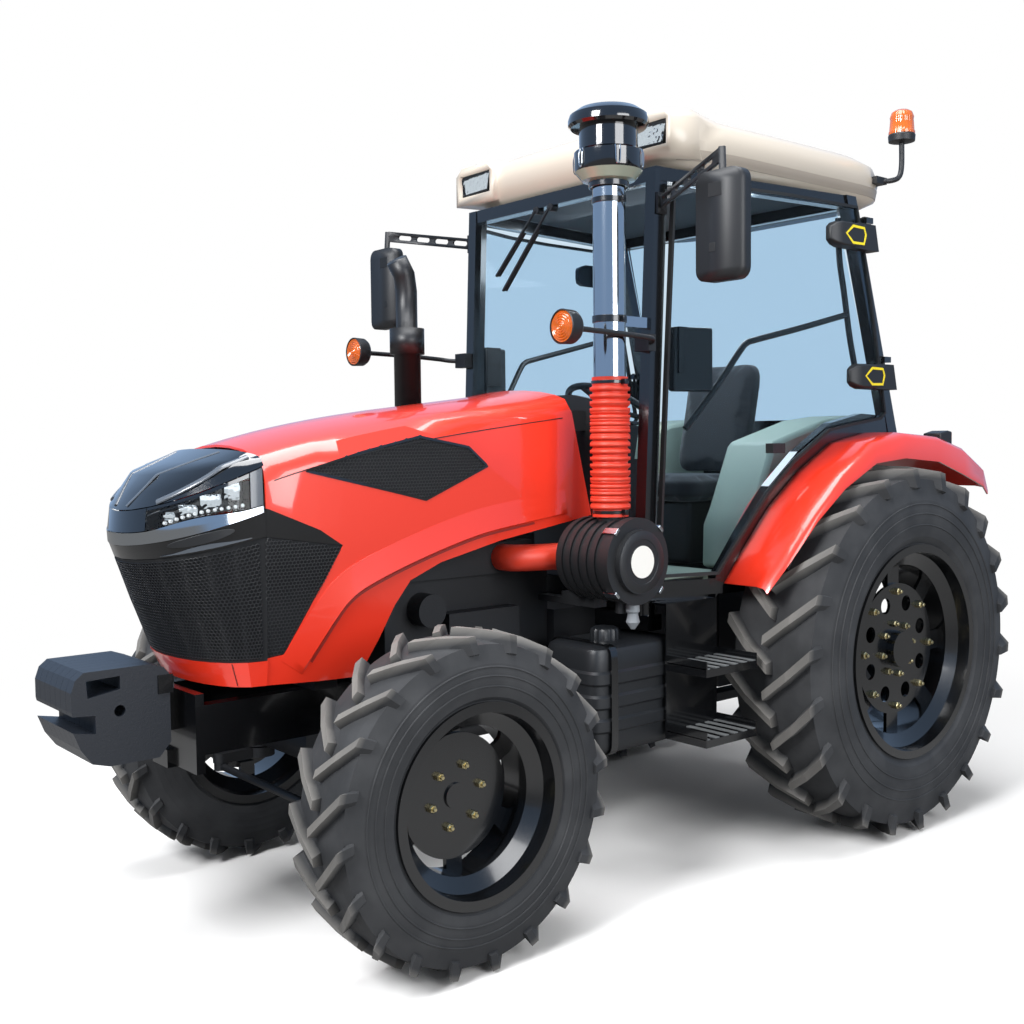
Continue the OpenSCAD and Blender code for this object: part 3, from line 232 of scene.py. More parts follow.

# Rubber, felt and cloth: no highlight, only tone. The lugs are painted paler towards their tops, a painted
# highlight for light falling on them.
FRONT_LUG_HEIGHT, REAR_LUG_HEIGHT = 32.0, 44.0
LUG_HIGHLIGHT_COLOUR = "#6E6C69"
black_rubber = tyre_rubber("black_rubber")
front_rubber = painted_lug_highlight(tyre_rubber("front_tyre_rubber"), "front", FRONT_LUG_HEIGHT, LUG_HIGHLIGHT_COLOUR)
rear_rubber = painted_lug_highlight(tyre_rubber("rear_tyre_rubber"), "rear", REAR_LUG_HEIGHT, LUG_HIGHLIGHT_COLOUR)
grey_rubber = finish("grey_valve_rubber", "#7C8288", 0.6, "tyre_rubber")
seal_rubber = finish("black_seal_rubber", "#0D0E0F", 0.60, "black_plastic")
red_silicone = finish("red_silicone_hose", "#D23A26", 0.42, "red_hose")
floor_mat = grain(finish("ribbed_floor_mat", "#8E9A8C", 0.8, "grey_trim"), 8, 0.8)
lining = grain(finish("grey_lining_felt", "#4A4D50", 0.90, "grey_trim"), 4, 0.4)
seat_cloth = grain(finish("woven_seat_cloth", "#1D1F24", 0.92, "seat_fabric", Sheen_Weight=0.3), 5, 0.8)

# Metal: chrome mirrors its surroundings, zinc is softer and yellow, and a worn tread is half bare.
bright_chrome = finish("bright_chrome", "#B4B9BE", 0.10, "lamp_chrome", Metallic=1.0)
cut_reflector = grain(finish("cut_reflector", "#D8DCE0", 0.08, "lamp_chrome", Metallic=1.0), 14, 4.0, 0.0)
mirror_glass = finish("mirror_glass", "#D9DDE0", 0.02, "lamp_chrome", Metallic=1.0)
yellow_zinc = finish("yellow_zinc_bolts", "#C2B48A", 0.34, "lamp_chrome", Metallic=1.0)
worn_steel = grain(finish("worn_step_steel", "#85888A", 0.45, "lamp_chrome", Metallic=0.5), 16, 3.0)
mesh_steel = finish("black_mesh_steel", "#101114", 0.40, "mesh_black")
mesh_shadow = finish("mesh_shadow", "#050506", 0.80, "mesh_black")

# Glass, lenses and film: the panes are thin, so their IOR is low and the view behind stays straight.
tinted_glass = finish("tinted_glass", "#CFE2F0", 0.0, "tinted_glass", Transmission_Weight=1.0, IOR=1.10,
                      Specular_IOR_Level=0.9)
lamp_lens = finish("clear_lamp_lens", "#F2F6F8", 0.02, "lamp_chrome", Transmission_Weight=1.0, IOR=1.25)
lamp_white = finish("white_led_cover", "#F4F7FA", 0.25, "lamp_chrome", Emission_Color=(1, 1, 1, 1),
                    Emission_Strength=0.25)
amber_lens = finish("amber_lens", "#D8690A", 0.12, "amber_lens", Transmission_Weight=0.25, Coat_Weight=0.8)
tail_red = finish("red_lens", "#B81410", 0.15, "amber_lens", Coat_Weight=0.8)
yellow_line = finish("yellow_reflective_film", "#F0DC1E", 0.35, "amber_lens")
white_film = finish("blank_white_film", "#ECECE8", 0.45, "roof_beige")

# %% [markdown]
# ## Surfaces from arrays
# Every new piece is a surface worked out with numpy: a grid of points, a profile spun round an axis,
# or an outline carried along a path. A part is a pair (points, faces), and several parts joined
# become one mesh. Doubles are merged and faces turned outwards before the piece joins its body.

# %% Surface helpers
def unit(v):
    """A direction of length one."""
    v = np.asarray(v, float)
    return v / np.linalg.norm(v, axis=-1, keepdims=True)


def skin(grid, wrap_rows=False, wrap_columns=True, caps=True):
    """Faces between neighbouring rows and columns of a grid of points; caps close the end rows."""
    rows, columns = grid.shape[:2]
    i = np.arange(rows if wrap_rows else rows - 1)[:, None]
    j = np.arange(columns if wrap_columns else columns - 1)[None, :]
    below, beside = (i + 1) % rows, (j + 1) % columns
    ring = (i * columns + j, i * columns + beside, below * columns + beside, below * columns + j)
    faces = np.stack(np.broadcast_arrays(*ring), -1).reshape(-1, 4).tolist()
    if caps and not wrap_rows:
        last = (rows - 1) * columns
        faces += [list(range(columns)), list(range(last, last + columns))]
    return grid.reshape(-1, 3), faces


def turned(profile, centre, axis, steps=48, ribs=0, rib_depth=0.0):
    """A profile of (distance along the axis, radius) spun about it: centre + d axis + r (cos u + sin v).
    Ribs add a cosine ripple to the radius."""
    axis = unit(axis)
    u = unit(np.cross(axis, (1, 0, 0) if abs(axis[0]) < 0.8 else (0, 1, 0)))
    v = np.cross(axis, u)
    distance, radius = np.asarray(profile, float).T
    angle = np.linspace(0, 2 * np.pi, steps, endpoint=False)
    ripple = rib_depth * np.cos(ribs * angle)[None, :] * (radius > 0)[:, None]
    reach = (radius[:, None] + ripple)[..., None]
    ring = np.cos(angle)[:, None] * u + np.sin(angle)[:, None] * v
    return skin(np.asarray(centre) + distance[:, None, None] * axis + reach * ring)


def hoop(centre, axis, radius, section, steps=64):
    """A closed outline of (along, outwards) points spun round the axis at a radius."""
    axis = unit(axis)
    u = unit(np.cross(axis, (1, 0, 0) if abs(axis[0]) < 0.8 else (0, 1, 0)))
    v = np.cross(axis, u)
    along, out = np.asarray(section, float).T
    angle = np.linspace(0, 2 * np.pi, steps, endpoint=False)
    ring = np.cos(angle)[:, None] * u + np.sin(angle)[:, None] * v
    grid = np.asarray(centre) + along[:, None, None] * axis + (radius + out)[:, None, None] * ring
    return skin(grid, wrap_rows=True)


def circle(radius, sides=12):
    """Points of a circle in a plane."""
    angle = np.linspace(0, 2 * np.pi, sides, endpoint=False)
    return radius * np.stack((np.cos(angle), np.sin(angle)), -1)


def rectangle(width, height):
    """Corners of a rectangle about its middle."""
    return np.array(((-1, -1), (1, -1), (1, 1), (-1, 1))) * (width / 2, height / 2)


def curve(points, count=24):
    """A smooth path through points: on each span, the cubic that keeps the neighbours' slopes."""
    points = np.asarray(points, float)
    t = np.linspace(0, len(points) - 1, count)
    i = np.minimum(t.astype(int), len(points) - 2)
    f = (t - i)[:, None]
    slope = np.gradient(points, axis=0)
    a, b, da, db = points[i], points[i + 1], slope[i], slope[i + 1]
    return (a * (2 * f**3 - 3 * f**2 + 1) + da * (f**3 - 2 * f**2 + f)
            + b * (3 * f**2 - 2 * f**3) + db * (f**3 - f**2))


def swept(path, section, closed=False, upright=(0, 0, 1)):
    """An outline carried along a path: path + s side + t up, with side and up square to the path."""
    path = np.asarray(path, float)
    along = np.roll(path, -1, 0) - np.roll(path, 1, 0) if closed else np.gradient(path, axis=0)
    along = unit(along)
    side = unit(np.cross(along, upright))
    up = np.cross(side, along)
    s, t = np.asarray(section, float).T
    grid = path[:, None] + s[None, :, None] * side[:, None] + t[None, :, None] * up[:, None]
    return skin(grid, wrap_rows=closed)


def slab(outline, low, high, axis="y"):
    """A flat outline given thickness along one axis; the outline holds the other two coordinates."""
    outline = np.asarray(outline, float)
    column = "xyz".index(axis)
    grid = np.stack([np.insert(outline, column, level, axis=1) for level in (low, high)])
    return skin(grid)


def boxes(low, high):
    """Boxes between rows of opposite corners."""
    low, high = np.atleast_2d(np.asarray(low, float)), np.atleast_2d(np.asarray(high, float))
    pick = np.array([[(k >> b) & 1 for b in range(3)] for k in range(8)])
    points = np.where(pick[None], high[:, None], low[:, None]).reshape(-1, 3)
    six = np.array(((0, 1, 3, 2), (4, 6, 7, 5), (0, 4, 5, 1), (2, 3, 7, 6), (0, 2, 6, 4), (1, 5, 7, 3)))
    faces = (np.arange(len(low))[:, None, None] * 8 + six).reshape(-1, 4).tolist()
    return points, faces


def pebble(centre, half, power=0.35, steps=40):
    """A box rounded all over: each half size times cosines and sines raised to a power below one."""
    def soft(wave):
        return np.sign(wave) * np.abs(wave) ** power
    a = np.linspace(-np.pi / 2, np.pi / 2, steps // 2 + 1)[:, None]
    b = np.linspace(0, 2 * np.pi, steps, endpoint=False)[None, :]
    ball = np.stack((soft(np.cos(a)) * soft(np.cos(b)), soft(np.cos(a)) * soft(np.sin(b)),
                     soft(np.sin(a)) * np.ones_like(b)), -1)
    return skin(np.asarray(centre) + ball * np.asarray(half))


def joined(*parts):
    """Several parts as one: points in a row, face numbers moved on by the points before them."""
    start = np.cumsum([0] + [len(points) for points, _ in parts])
    faces = [[k + int(start[n]) for k in face] for n, (_, part) in enumerate(parts) for face in part]
    return np.concatenate([points for points, _ in parts]), faces


def mirrored(part):
    """The same part on the other side of the tractor."""
    return part[0] * (1, -1, 1), part[1]


PLACED = {"left": lambda part: part, "right": mirrored}  # a left-hand part, put on each side


def ringed(part, centre, axis, angles):
    """Copies of a part turned about an axis: what lies along it stays, the rest turns."""
    axis, centre = unit(axis), np.asarray(centre, float)
    arm = part[0] - centre
    across = np.cross(axis, arm)
    along = (arm @ axis)[:, None] * axis
    turn = np.radians(np.asarray(angles, float))
    copies = [(centre + np.cos(t) * (arm - along) + np.sin(t) * across + along, part[1]) for t in turn]
    return joined(*copies)


def piece(name, part, material, body, replaces=(), sharp=35.0, bevel=0.0):
    """Puts a part into a mesh, merges doubles, turns faces out, and hangs it on its body."""
    mesh = bpy.data.meshes.new(name)
    mesh.from_pydata(metres(part[0]).tolist(), [], part[1])
    cleaner = bmesh.new()
    cleaner.from_mesh(mesh)
    bmesh.ops.remove_doubles(cleaner, verts=cleaner.verts, dist=1e-6)
    bmesh.ops.dissolve_degenerate(cleaner, edges=cleaner.edges, dist=1e-7)
    bmesh.ops.recalc_face_normals(cleaner, faces=cleaner.faces)
    cleaner.to_mesh(mesh)
    cleaner.free()
    mesh.shade_smooth()
    mesh.set_sharp_from_angle(angle=np.radians(sharp))
    mesh.materials.append(material)
    obj = bpy.data.objects.new(name, mesh)
    bpy.context.scene.collection.objects.link(obj)
    if bevel:
        edge = obj.modifiers.new("edge", "BEVEL")
        edge.width = bevel * METRE
        edge.segments = 2
        edge.limit_method = "ANGLE"
    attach(obj, body)
    if replaces:
        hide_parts(*replaces)
    return obj


# %% [markdown]
# ## Solids that stay as they are
# Most solids already have the right shape and only need a finish. The ones with bowed sheets are a
# net of flat triangles, so a merged copy with soft shading across its shallow edges stands in for them.

# %% Paint the solids
PAINT = {
    red_enamel: "hood fenders",
    black_enamel: "rear_rim_left rear_rim_right front_rim_left front_rim_right steps cab_frame cab_floor "
                  "front_frame",
    heat_black: "exhaust",
    tank_plastic: "fuel_tank battery_box",
    charcoal_casting: "knuckle_left knuckle_right tie_rod front_axle transmission engine_block lower_links "
                      "lift_arms lift_rods rear_hitch",
    slate_casting: "front_weights",
    front_rubber: "front_tyre_left front_tyre_right",
    rear_rubber: "rear_tyre_left rear_tyre_right",
    grained_plastic: "air_cleaner cab_cowl dashboard steering_wheel "
                     "door_left_fittings door_right_fittings mirrors radiator",
    gloss_plastic: "nose",
    mesh_shadow: "grilles",
    bright_chrome: "headlamps intake_pipe work_lamps",
    red_silicone: "intake_hoses",
    roof_plastic: "roof",
    tinted_glass: "cab_glass door_left door_right",
    seat_cloth: "seat",
    console_plastic: "inner_trim",
    amber_lens: "amber_lamps",
}
SOFT_SHADED = {"hood": 24, "nose": 28, "fenders": 40, "roof": 38, "exhaust": 40, "door_left": 20,
               "door_right": 20, "intake_hoses": 50, "mirrors": 40}
body_of_node = {node: body for body, names in frame["record"]["behaviour"]["bodies"].items()
                for node in names}

for material, names in PAINT.items():
    for node in names.split():
        mesh = nodes[node].data
        mesh.materials.clear()
        mesh.materials.append(material)


def soft_shaded(node, angle):
    """A merged copy of a solid, smooth across edges shallower than the angle."""
    mesh = nodes[node].data.copy()
    mesh.name = node + "_smooth"
    cleaner = bmesh.new()
    cleaner.from_mesh(mesh)
    bmesh.ops.remove_doubles(cleaner, verts=cleaner.verts, dist=2e-5)
    cleaner.to_mesh(mesh)
    cleaner.free()
    mesh.shade_smooth()
    mesh.set_sharp_from_angle(angle=np.radians(angle))
    obj = bpy.data.objects.new(node + "_smooth", mesh)
    bpy.context.scene.collection.objects.link(obj)
    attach(obj, body_of_node[node])
    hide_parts(node)


for node, angle in SOFT_SHADED.items():
    soft_shaded(node, angle)
print(len(nodes), "solids painted,", len(SOFT_SHADED), "of them soft shaded")

# %% [markdown]
# ## Wheels
# A wheel's disc is held by bright zinc-plated bolts, six in front and eight behind, with eight more
# where the disc meets the rim. A bolt is one six-sided profile spun in six steps, and copies are
# turned about the axle. Fine raised rings run round the tyre's side wall.

# %% Wheel bolts and side-wall rings
BOLT_PROFILE = ((0, 0), (0, 15), (14, 15), (17, 12), (17, 8), (26, 8), (28, 6), (28, 0))
RING_SECTION = circle(3.5, 8)
RING_ANGLES = np.radians((62, 82, 104))
WHEELS = {  # lug height, bead radius, disc face out of the tyre's middle, bolts: reach, count, first, scale
    "front": (FRONT_LUG_HEIGHT, 305, -15.5, ((102.0, 6, 12, 1.0),)),
    "rear": (REAR_LUG_HEIGHT, 432, 94.5, ((112.0, 8, 10, 1.0), (248.0, 8, 0, 1.1))),
}


def bolt_ring(centre, out, reach, count, first, scale):
    """A ring of bolts round an axle, at a reach from it."""
    profile = np.array(BOLT_PROFILE) * scale
    bolt = turned(profile, np.asarray(centre) + (reach, 0, 0), (0, out, 0), steps=6)
    return ringed(bolt, centre, (0, 1, 0), first + np.arange(count) * 360 / count)


def wall_rings(wheel, out, seat, lug_height):
    """Raised rings on a tyre's side wall, which bulges by a sine between tread and bead."""
    low, high = corners_of(wheel.format("tyre"))
    rim_low, rim_high = corners_of(wheel.format("rim"))
    axle = (rim_low + rim_high) / 2
    wall = high[2] - axle[2] - lug_height - seat
    reach = seat + 0.44 * wall + 0.40 * wall * np.cos(RING_ANGLES)
    level = (low + high)[1] / 2 + out * (high[1] - low[1]) * (0.42 + 0.08 * np.sin(RING_ANGLES))
    return joined(*(hoop((axle[0], y, axle[2]), (0, 1, 0), r, RING_SECTION, 96)
                    for r, y in zip(reach, level)))


for side, out in SIDES.items():
    for end, (lug_height, bead, face, rings) in WHEELS.items():
        middle = np.array(corners_of(f"{end}_rim_{side}")).mean(0)
        middle[1] = np.array(corners_of(f"{end}_tyre_{side}")).mean(0)[1]
        disc = middle + (0, out * face, 0)
        bolts = joined(*(bolt_ring(disc, out, *ring) for ring in rings))
        wall = wall_rings(f"{end}_{{}}_{side}", out, bead, lug_height)
        piece(f"{end}_wheel_bolts_{side}", bolts, yellow_zinc, f"{end}_{side}_wheel", sharp=20)
        piece(f"{end}_wall_rings_{side}", wall, black_rubber, f"{end}_{side}_wheel")
print("wheel trim made")

# %% [markdown]
# ## The nose
# All bands of the nose lie on one surface: rows from the lip to the ridge, each carried round the
# front by a rounded cosine. The same formula that cut the solids places the mesh, the lamp lenses
# and the bright strip. The mesh is a honeycomb laid on that surface, with Blender's Wireframe
# modifier giving each edge its thickness.

# %% Nose surface and honeycomb
NOSE_ROWS = np.array((  # row, side z, side half width, front x, front z
    (0, 914, 326, 2849, 915), (1, 996, 336, 2895, 997), (2, 1190, 344, 2972, 1180),
    (3, 1400, 344, 3030, 1330), (4, 1480, 344, 3047, 1374), (5, 1502, 342, 3050, 1416),
    (6, 1628, 336, 3040, 1488),
    (7, 1650, 322, 2960, 1600), (8, 1660, 300, 2752, 1684)))
NOSE_SIDE_X = 2690.4
MESH_PITCH = 13.0
MESH_WIRE = 3.2
HEX_ROW = 0.866  # height of a row of cells, in pitches
FRONT_MESH_HEIGHT = 370.0


def nose_surface(row, angle, inset):
    """A point of the nose: from the side's foot to the front's, by a cosine to the power 0.85."""
    side_z, half, front_x, front_z = (np.interp(row, NOSE_ROWS[:, 0], NOSE_ROWS[:, k]) for k in range(1, 5))
    c = np.abs(np.cos(angle)) ** 0.85
    x = NOSE_SIDE_X + (front_x - inset - NOSE_SIDE_X) * c
    z = side_z + (front_z - side_z) * c - inset * np.clip(row - 6, 0, 1)
    return np.stack(np.broadcast_arrays(x, (half - inset) * np.sin(angle), z), -1)


def nose_strip(row_low, row_high, angle_low, angle_high, inset, wall, rows=6, columns=60):
    """A thick band of the nose between two angles; its lower and upper row may change with the angle."""
    degrees = np.linspace(angle_low, angle_high, columns)
    low, high = (edge(degrees) if callable(edge) else np.full(columns, edge) for edge in (row_low, row_high))
    row = low + (high - low) * np.linspace(0, 1, rows)[:, None]
    angle = np.radians(degrees)[None, :]
    outer, inner = nose_surface(row, angle, inset), nose_surface(row, angle, inset + wall)
    return skin(np.concatenate((outer, inner[:, ::-1]), 1))


def honeycomb(width, height, pitch, keep=None):
    """Corners and six-sided faces of a honeycomb; keep chooses cells by their middles."""
    across, down = int(width / pitch), int(height / (pitch * HEX_ROW))
    i, j = np.meshgrid(np.arange(across), np.arange(down), indexing="ij")
    middle = np.stack((i + 0.5 + 0.5 * (j % 2), (j + 0.6) * HEX_ROW), -1).reshape(-1, 2) * pitch
    if keep is not None:
        middle = middle[keep(middle)]
    angle = np.radians(30 + 60 * np.arange(6))
    spoke = np.stack((np.cos(angle), np.sin(angle)), -1) * pitch / np.sqrt(3)
    corner = (middle[:, None] + spoke).reshape(-1, 2)
    unique, number = np.unique(np.round(corner, 2), axis=0, return_inverse=True)
    return unique, number.reshape(-1, 6)


def wire_mesh(name, points, cells, body):
    """A honeycomb on a surface, its edges made into wires."""
    obj = piece(name, (points, cells.tolist()), mesh_steel, body)
    wires = obj.modifiers.new("wires", "WIREFRAME")
    wires.thickness = MESH_WIRE * METRE
    wires.use_boundary = True
    return obj


front_angle = np.radians(np.linspace(-88, 88, 200))
front_line = nose_surface(2.0, front_angle, 3)
front_run = np.concatenate(([0], np.cumsum(np.linalg.norm(np.diff(front_line, axis=0), axis=1))))
flat, cells = honeycomb(front_run[-1], FRONT_MESH_HEIGHT, MESH_PITCH)
mesh_angle = np.interp(flat[:, 0], front_run, front_angle)
mesh_row = 1.06 + 1.9 * np.clip(flat[:, 1] / FRONT_MESH_HEIGHT, 0, 1)
wire_mesh("front_grille_mesh", nose_surface(mesh_row, mesh_angle, 2.5), cells, "bonnet")
print(len(cells), "cells in the front mesh")

# %% [markdown]
# ## Side mesh and vents
# The bonnet's sides are nearly flat, so the honeycomb is laid out in side view, kept where a cell's
# middle lies inside the opening, and pushed out to the bonnet's side by its own formula.

# %% Side mesh and vents
SIDE_MESH = np.array(((2420, 1345), (2690, 1392), (2690, 1010), (2634, 1018)))
SIDE_VENT = np.array(((2546, 1608), (2330, 1668), (2100, 1718), (1882, 1679), (1796, 1609), (2075, 1496),
                      (2188, 1524)))
BONNET_HALF = 368.0


def bonnet_side(x, z):
    """Half width of the bonnet's side: drawn in towards the nose by a square, and below by a power."""
    forward = np.maximum(0, x - 2100) / 590
    below = np.maximum(0, 1300 - z) / 400
    return BONNET_HALF - 22 * forward**2 - 24 * below**1.3


def inside(points, outline):
    """True where a point's rightward ray crosses the outline an odd number of times."""
    x, y = points[:, 0, None], points[:, 1, None]
    (ax, ay), (bx, by) = outline.T, np.roll(outline, -1, 0).T
    spans = (ay > y) != (by > y)
    crossing = x < ax + (y - ay) * (bx - ax) / np.where(by == ay, 1e-9, by - ay)
    return np.sum(spans & crossing, 1) % 2 == 1


def side_honeycomb(outline, inset):
    """A honeycomb inside an outline of (x, z), standing on the bonnet's side."""
    low = outline.min(0)
    width, height = outline.max(0) - low + MESH_PITCH
    flat, cells = honeycomb(width, height, MESH_PITCH, lambda middle: inside(middle + low, outline))
    x, z = (flat + low).T
    return np.stack((x, bonnet_side(x, z) - inset, z), -1), cells


def outline_trim(outline, inset, section, steps=14):
    """A strip carried round an outline on the bonnet's side."""
    ends = np.roll(outline, -1, 0)
    t = np.linspace(0, 1, steps, endpoint=False)[None, :, None]
    x, z = (outline[:, None] + t * (ends - outline)[:, None]).reshape(-1, 2).T
    return swept(np.stack((x, bonnet_side(x, z) - inset, z), -1), section, closed=True, upright=(0, 1, 0))


for side, out in SIDES.items():
    for label, outline, inset in (("side_mesh", SIDE_MESH, 2.5), ("vent_mesh", SIDE_VENT, 2.0)):
        points, cells = side_honeycomb(outline, inset)
        wire_mesh(f"{label}_{side}", points * (1, out, 1), cells, "bonnet")
    frame_strip = outline_trim(SIDE_VENT, 1.0, rectangle(9, 5))
    piece(f"vent_frame_{side}", PLACED[side](frame_strip), gloss_plastic, "bonnet")
print("side mesh and vents made")

# %% [markdown]
# ## Headlamps
# A clear lens wraps each corner of the nose over faceted reflectors and a row of small light units.
# Between the lamps the band is gloss black, and one bright strip runs below all of it, widest under
# the lens. Angles are counted from the middle of the nose round to its side.

# %% Headlamps
LAMP_INNER_ANGLE = 27.0
LAMP_OUTER_ANGLE = 84.0
LAMP_TOP = 5.97
LAMP_FACETS = ((40, 5.45, 44, 26), (52, 5.48, 62, 36), (65, 5.55, 66, 46), (77, 5.62, 50, 54))
LED_ANGLES = np.arange(38, 82, 3.6)
LED_PROFILE = ((-8, 0), (-8, 6), (0, 6), (3, 4), (4, 0))


def strip_top(angle):
    """Upper row of the bright strip: it rises under the lens by a raised cosine."""
    place = np.clip((np.abs(angle) - 20) / 70, 0, 1)
    return 4.97 + 0.20 * (1 - np.cos(2 * np.pi * place)) / 2


def lens_foot(angle):
    """The lens starts just above the strip."""
    return strip_top(angle) + 0.05


def along_lamp(angle, row, inset):
    """A point in the lamp and the direction that it faces."""
    turn = np.radians(angle)
    return nose_surface(row, turn, inset), unit((np.cos(turn * 0.8), np.sin(turn * 0.8), 0.08))


def facet(angle, row, inset, width, height):
    """A reflector: a shallow dish, wider than tall, facing out of the lamp."""
    at, facing = along_lamp(angle, row, inset)
    across, rise = unit(np.cross(facing, (0, 0, 1))), (0, 0, 1)
    a, b = np.linspace(-1, 1, 9)[:, None], np.linspace(-1, 1, 9)[None, :]
    depth = 10 * (a**2 + b**2)
    grid = (at + (a * width / 2)[..., None] * across + (b * height / 2)[..., None] * np.asarray(rise)
            + depth[..., None] * facing)
    return skin(np.stack((grid, grid - 3 * facing)).reshape(-1, 9, 3), wrap_columns=False, caps=False)


piece("lamp_bright_strip", nose_strip(4.03, strip_top, -89.5, 89.5, -1, 6), bright_chrome, "bonnet",
      replaces=("headlamps",))
piece("lamp_centre", nose_strip(lens_foot, LAMP_TOP, -LAMP_INNER_ANGLE, LAMP_INNER_ANGLE, 1, 6),
      gloss_plastic, "bonnet", replaces=("headlamps",))
lamp_span = (LAMP_INNER_ANGLE + 0.5, LAMP_OUTER_ANGLE)
units = []
for angle in LED_ANGLES:
    at, facing = along_lamp(angle, float(strip_top(angle)) + 0.16, 16)
    units.append(turned(LED_PROFILE, at, facing, steps=16))
LAMP_PIECES = (
    ("lens", nose_strip(lens_foot, LAMP_TOP, *lamp_span, 1, 4), lamp_lens),
    ("back", nose_strip(lens_foot, LAMP_TOP, *lamp_span, 62, 3), gloss_plastic),
    ("rear_trim", nose_strip(lens_foot, LAMP_TOP, LAMP_OUTER_ANGLE + 0.5, 89.5, 0, 6, columns=8),
     graphite_trim_and_painted_highlight),
    ("hood", nose_strip(5.86, LAMP_TOP, *lamp_span, 0.5, 5), gloss_plastic),
    ("reflectors", joined(*(facet(a, row, 40, w, h) for a, row, w, h in LAMP_FACETS)), cut_reflector),
    ("light_units", joined(*units), lamp_white),
)
for side, placed in PLACED.items():
    for label, part, material in LAMP_PIECES:
        piece(f"lamp_{label}_{side}", placed(part), material, "bonnet", replaces=("headlamps",))
print("headlamps made")

# %% [markdown]
# ## Ridges of the nose
# The black brow carries two raised ridges on each side that run up from its tip, and the beak below the
# lamp holds a dark marker lamp over a raised strip. Ridges and strip are grey as painted highlight on the
# gloss black. A ridge is a half-round strip carried along a line of rows and angles on the nose. Narrow
# gaps part the red lip into three pieces.

# %% Nose trim
def nose_line(stops, inset, count=40):
    """A path over the nose through (row, angle) stops."""
    row, angle = curve(stops, count).T
    return nose_surface(row, np.radians(angle), inset)


RIDGE = circle(7, 10) * (1.0, 0.55)
BEAK_HIGHLIGHT_ANGLES = (34, 84)
MARKER_ROW, MARKER_ANGLE, MARKER_HALF_ANGLE = 3.68, 58, 18


def beak_highlight_top(angle):
    """Upper row of the beak's painted highlight strip: it swells by a squared sine."""
    return 3.12 + 0.24 * np.sin(np.pi * (angle - BEAK_HIGHLIGHT_ANGLES[0]) / 50) ** 2


def marker_half(angle):
    """Half height of the marker lamp in rows: an ellipse over the angle."""
    return 0.26 * np.sqrt(np.clip(1 - ((angle - MARKER_ANGLE) / MARKER_HALF_ANGLE) ** 2, 0, 1))


# The grey of the ridges and of the beak's strip is painted highlight on the gloss black nose.
inner_ridge = nose_line(((6.12, 8), (6.5, 13), (7.1, 20), (7.55, 27), (7.9, 34)), 0.5)
outer_ridge = nose_line(((6.1, 33), (6.3, 46), (6.6, 58), (7.1, 68), (7.7, 76)), 0.5)
ridges = joined(swept(inner_ridge, RIDGE, upright=(1, 0, 1)),
                swept(outer_ridge, RIDGE * 1.5, upright=(1, 0.5, 1)))
edge = nose_strip(3.10, beak_highlight_top, *BEAK_HIGHLIGHT_ANGLES, -3, 6)
marker = nose_strip(lambda a: MARKER_ROW - marker_half(a), lambda a: MARKER_ROW + marker_half(a),
                    MARKER_ANGLE - MARKER_HALF_ANGLE, MARKER_ANGLE + MARKER_HALF_ANGLE, -7, 8)
lip_gap = nose_strip(0.06, 0.96, 61.6, 62.2, -0.4, 1.4, columns=3)
for side, placed in PLACED.items():
    piece(f"brow_ridges_painted_highlight_{side}", placed(ridges), graphite_trim_and_painted_highlight, "bonnet")
    piece(f"beak_painted_highlight_{side}", placed(edge), graphite_trim_and_painted_highlight, "bonnet")
    piece(f"beak_marker_{side}", placed(marker), grained_plastic, "bonnet", bevel=2)
    piece(f"lip_gap_{side}", placed(lip_gap), seal_rubber, "bonnet")
print("nose trim made")

# %% [markdown]
# ## Intake stack
# The stack is a chrome pipe under a black pre-cleaner bowl, joined by a red silicone hose to the air
# cleaner. All are turned shapes, so each is one profile. The hose's ribs are a sine along its length.

# %% Intake stack, hose and air cleaner
STACK_AT = np.array((1368.0, 575.0, 0.0))
HOSE_LOW, HOSE_HIGH, HOSE_RIBS = 1412.0, 1935.0, 18
up = (0, 0, 1)
pipe_profile = ((1881, 50), (1936, 50), (1936, 61), (2660, 61), (2660, 0))
piece("stack_pipe", joined(turned(((1881, 0),) + pipe_profile, STACK_AT, up),
                           boxes((1125, 540, 2130), (1318, 570, 2170))), bright_chrome, "chassis",
      replaces=("intake_pipe",))
bowl_profile = ((2692, 0), (2692, 126), (2700, 129), (2762, 129), (2768, 124), (2770, 109),
                (2850, 109), (2852, 140), (2862, 150), (2880, 150), (2898, 144),
                (2920, 112), (2931, 60), (2931, 0))
piece("pre_cleaner_bowl", turned(bowl_profile, STACK_AT, up, 64), gloss_plastic, "chassis",
      replaces=("intake_pipe",))
sump_profile = ((2640, 0), (2640, 72), (2654, 72), (2660, 98), (2692, 126), (2692, 0))
piece("pre_cleaner_sump", turned(sump_profile, STACK_AT, up, 64), bowl_plastic, "chassis",
      replaces=("intake_pipe",))
clip_wire = curve(((129, -9, 2764), (134, -9, 2740), (133, -7, 2706), (131, 0, 2698), (133, 7, 2706),
                   (134, 9, 2740), (129, 9, 2764)), 28) + STACK_AT
wire_clip = swept(clip_wire, circle(2.4, 8), upright=(1, 0, 0))
piece("pre_cleaner_clips", ringed(wire_clip, STACK_AT, up, (-5, 60, 115, 180, 240, 300)), bright_chrome,
      "chassis")
clamps = [hoop(STACK_AT + (0, 0, z), up, r, rectangle(h, 5)) for z, r, h in
          ((2646, 73, 22), (2587, 63, 20), (2150, 63, 26), (1916, 68, 12), (1430, 68, 12))]
clamps += [boxes(STACK_AT + (-8, r, z - 10), STACK_AT + (8, r + 22, z + 10)) for z, r in
           ((2587, 60), (2150, 60), (1916, 66), (1430, 66))]
piece("stack_clamps", joined(*clamps), black_enamel, "chassis", bevel=1.0)
hose_z = np.linspace(HOSE_LOW, HOSE_HIGH, HOSE_RIBS * 10 + 1)
wave = np.sin(np.linspace(0, HOSE_RIBS * 2 * np.pi, len(hose_z)) - np.pi / 2)
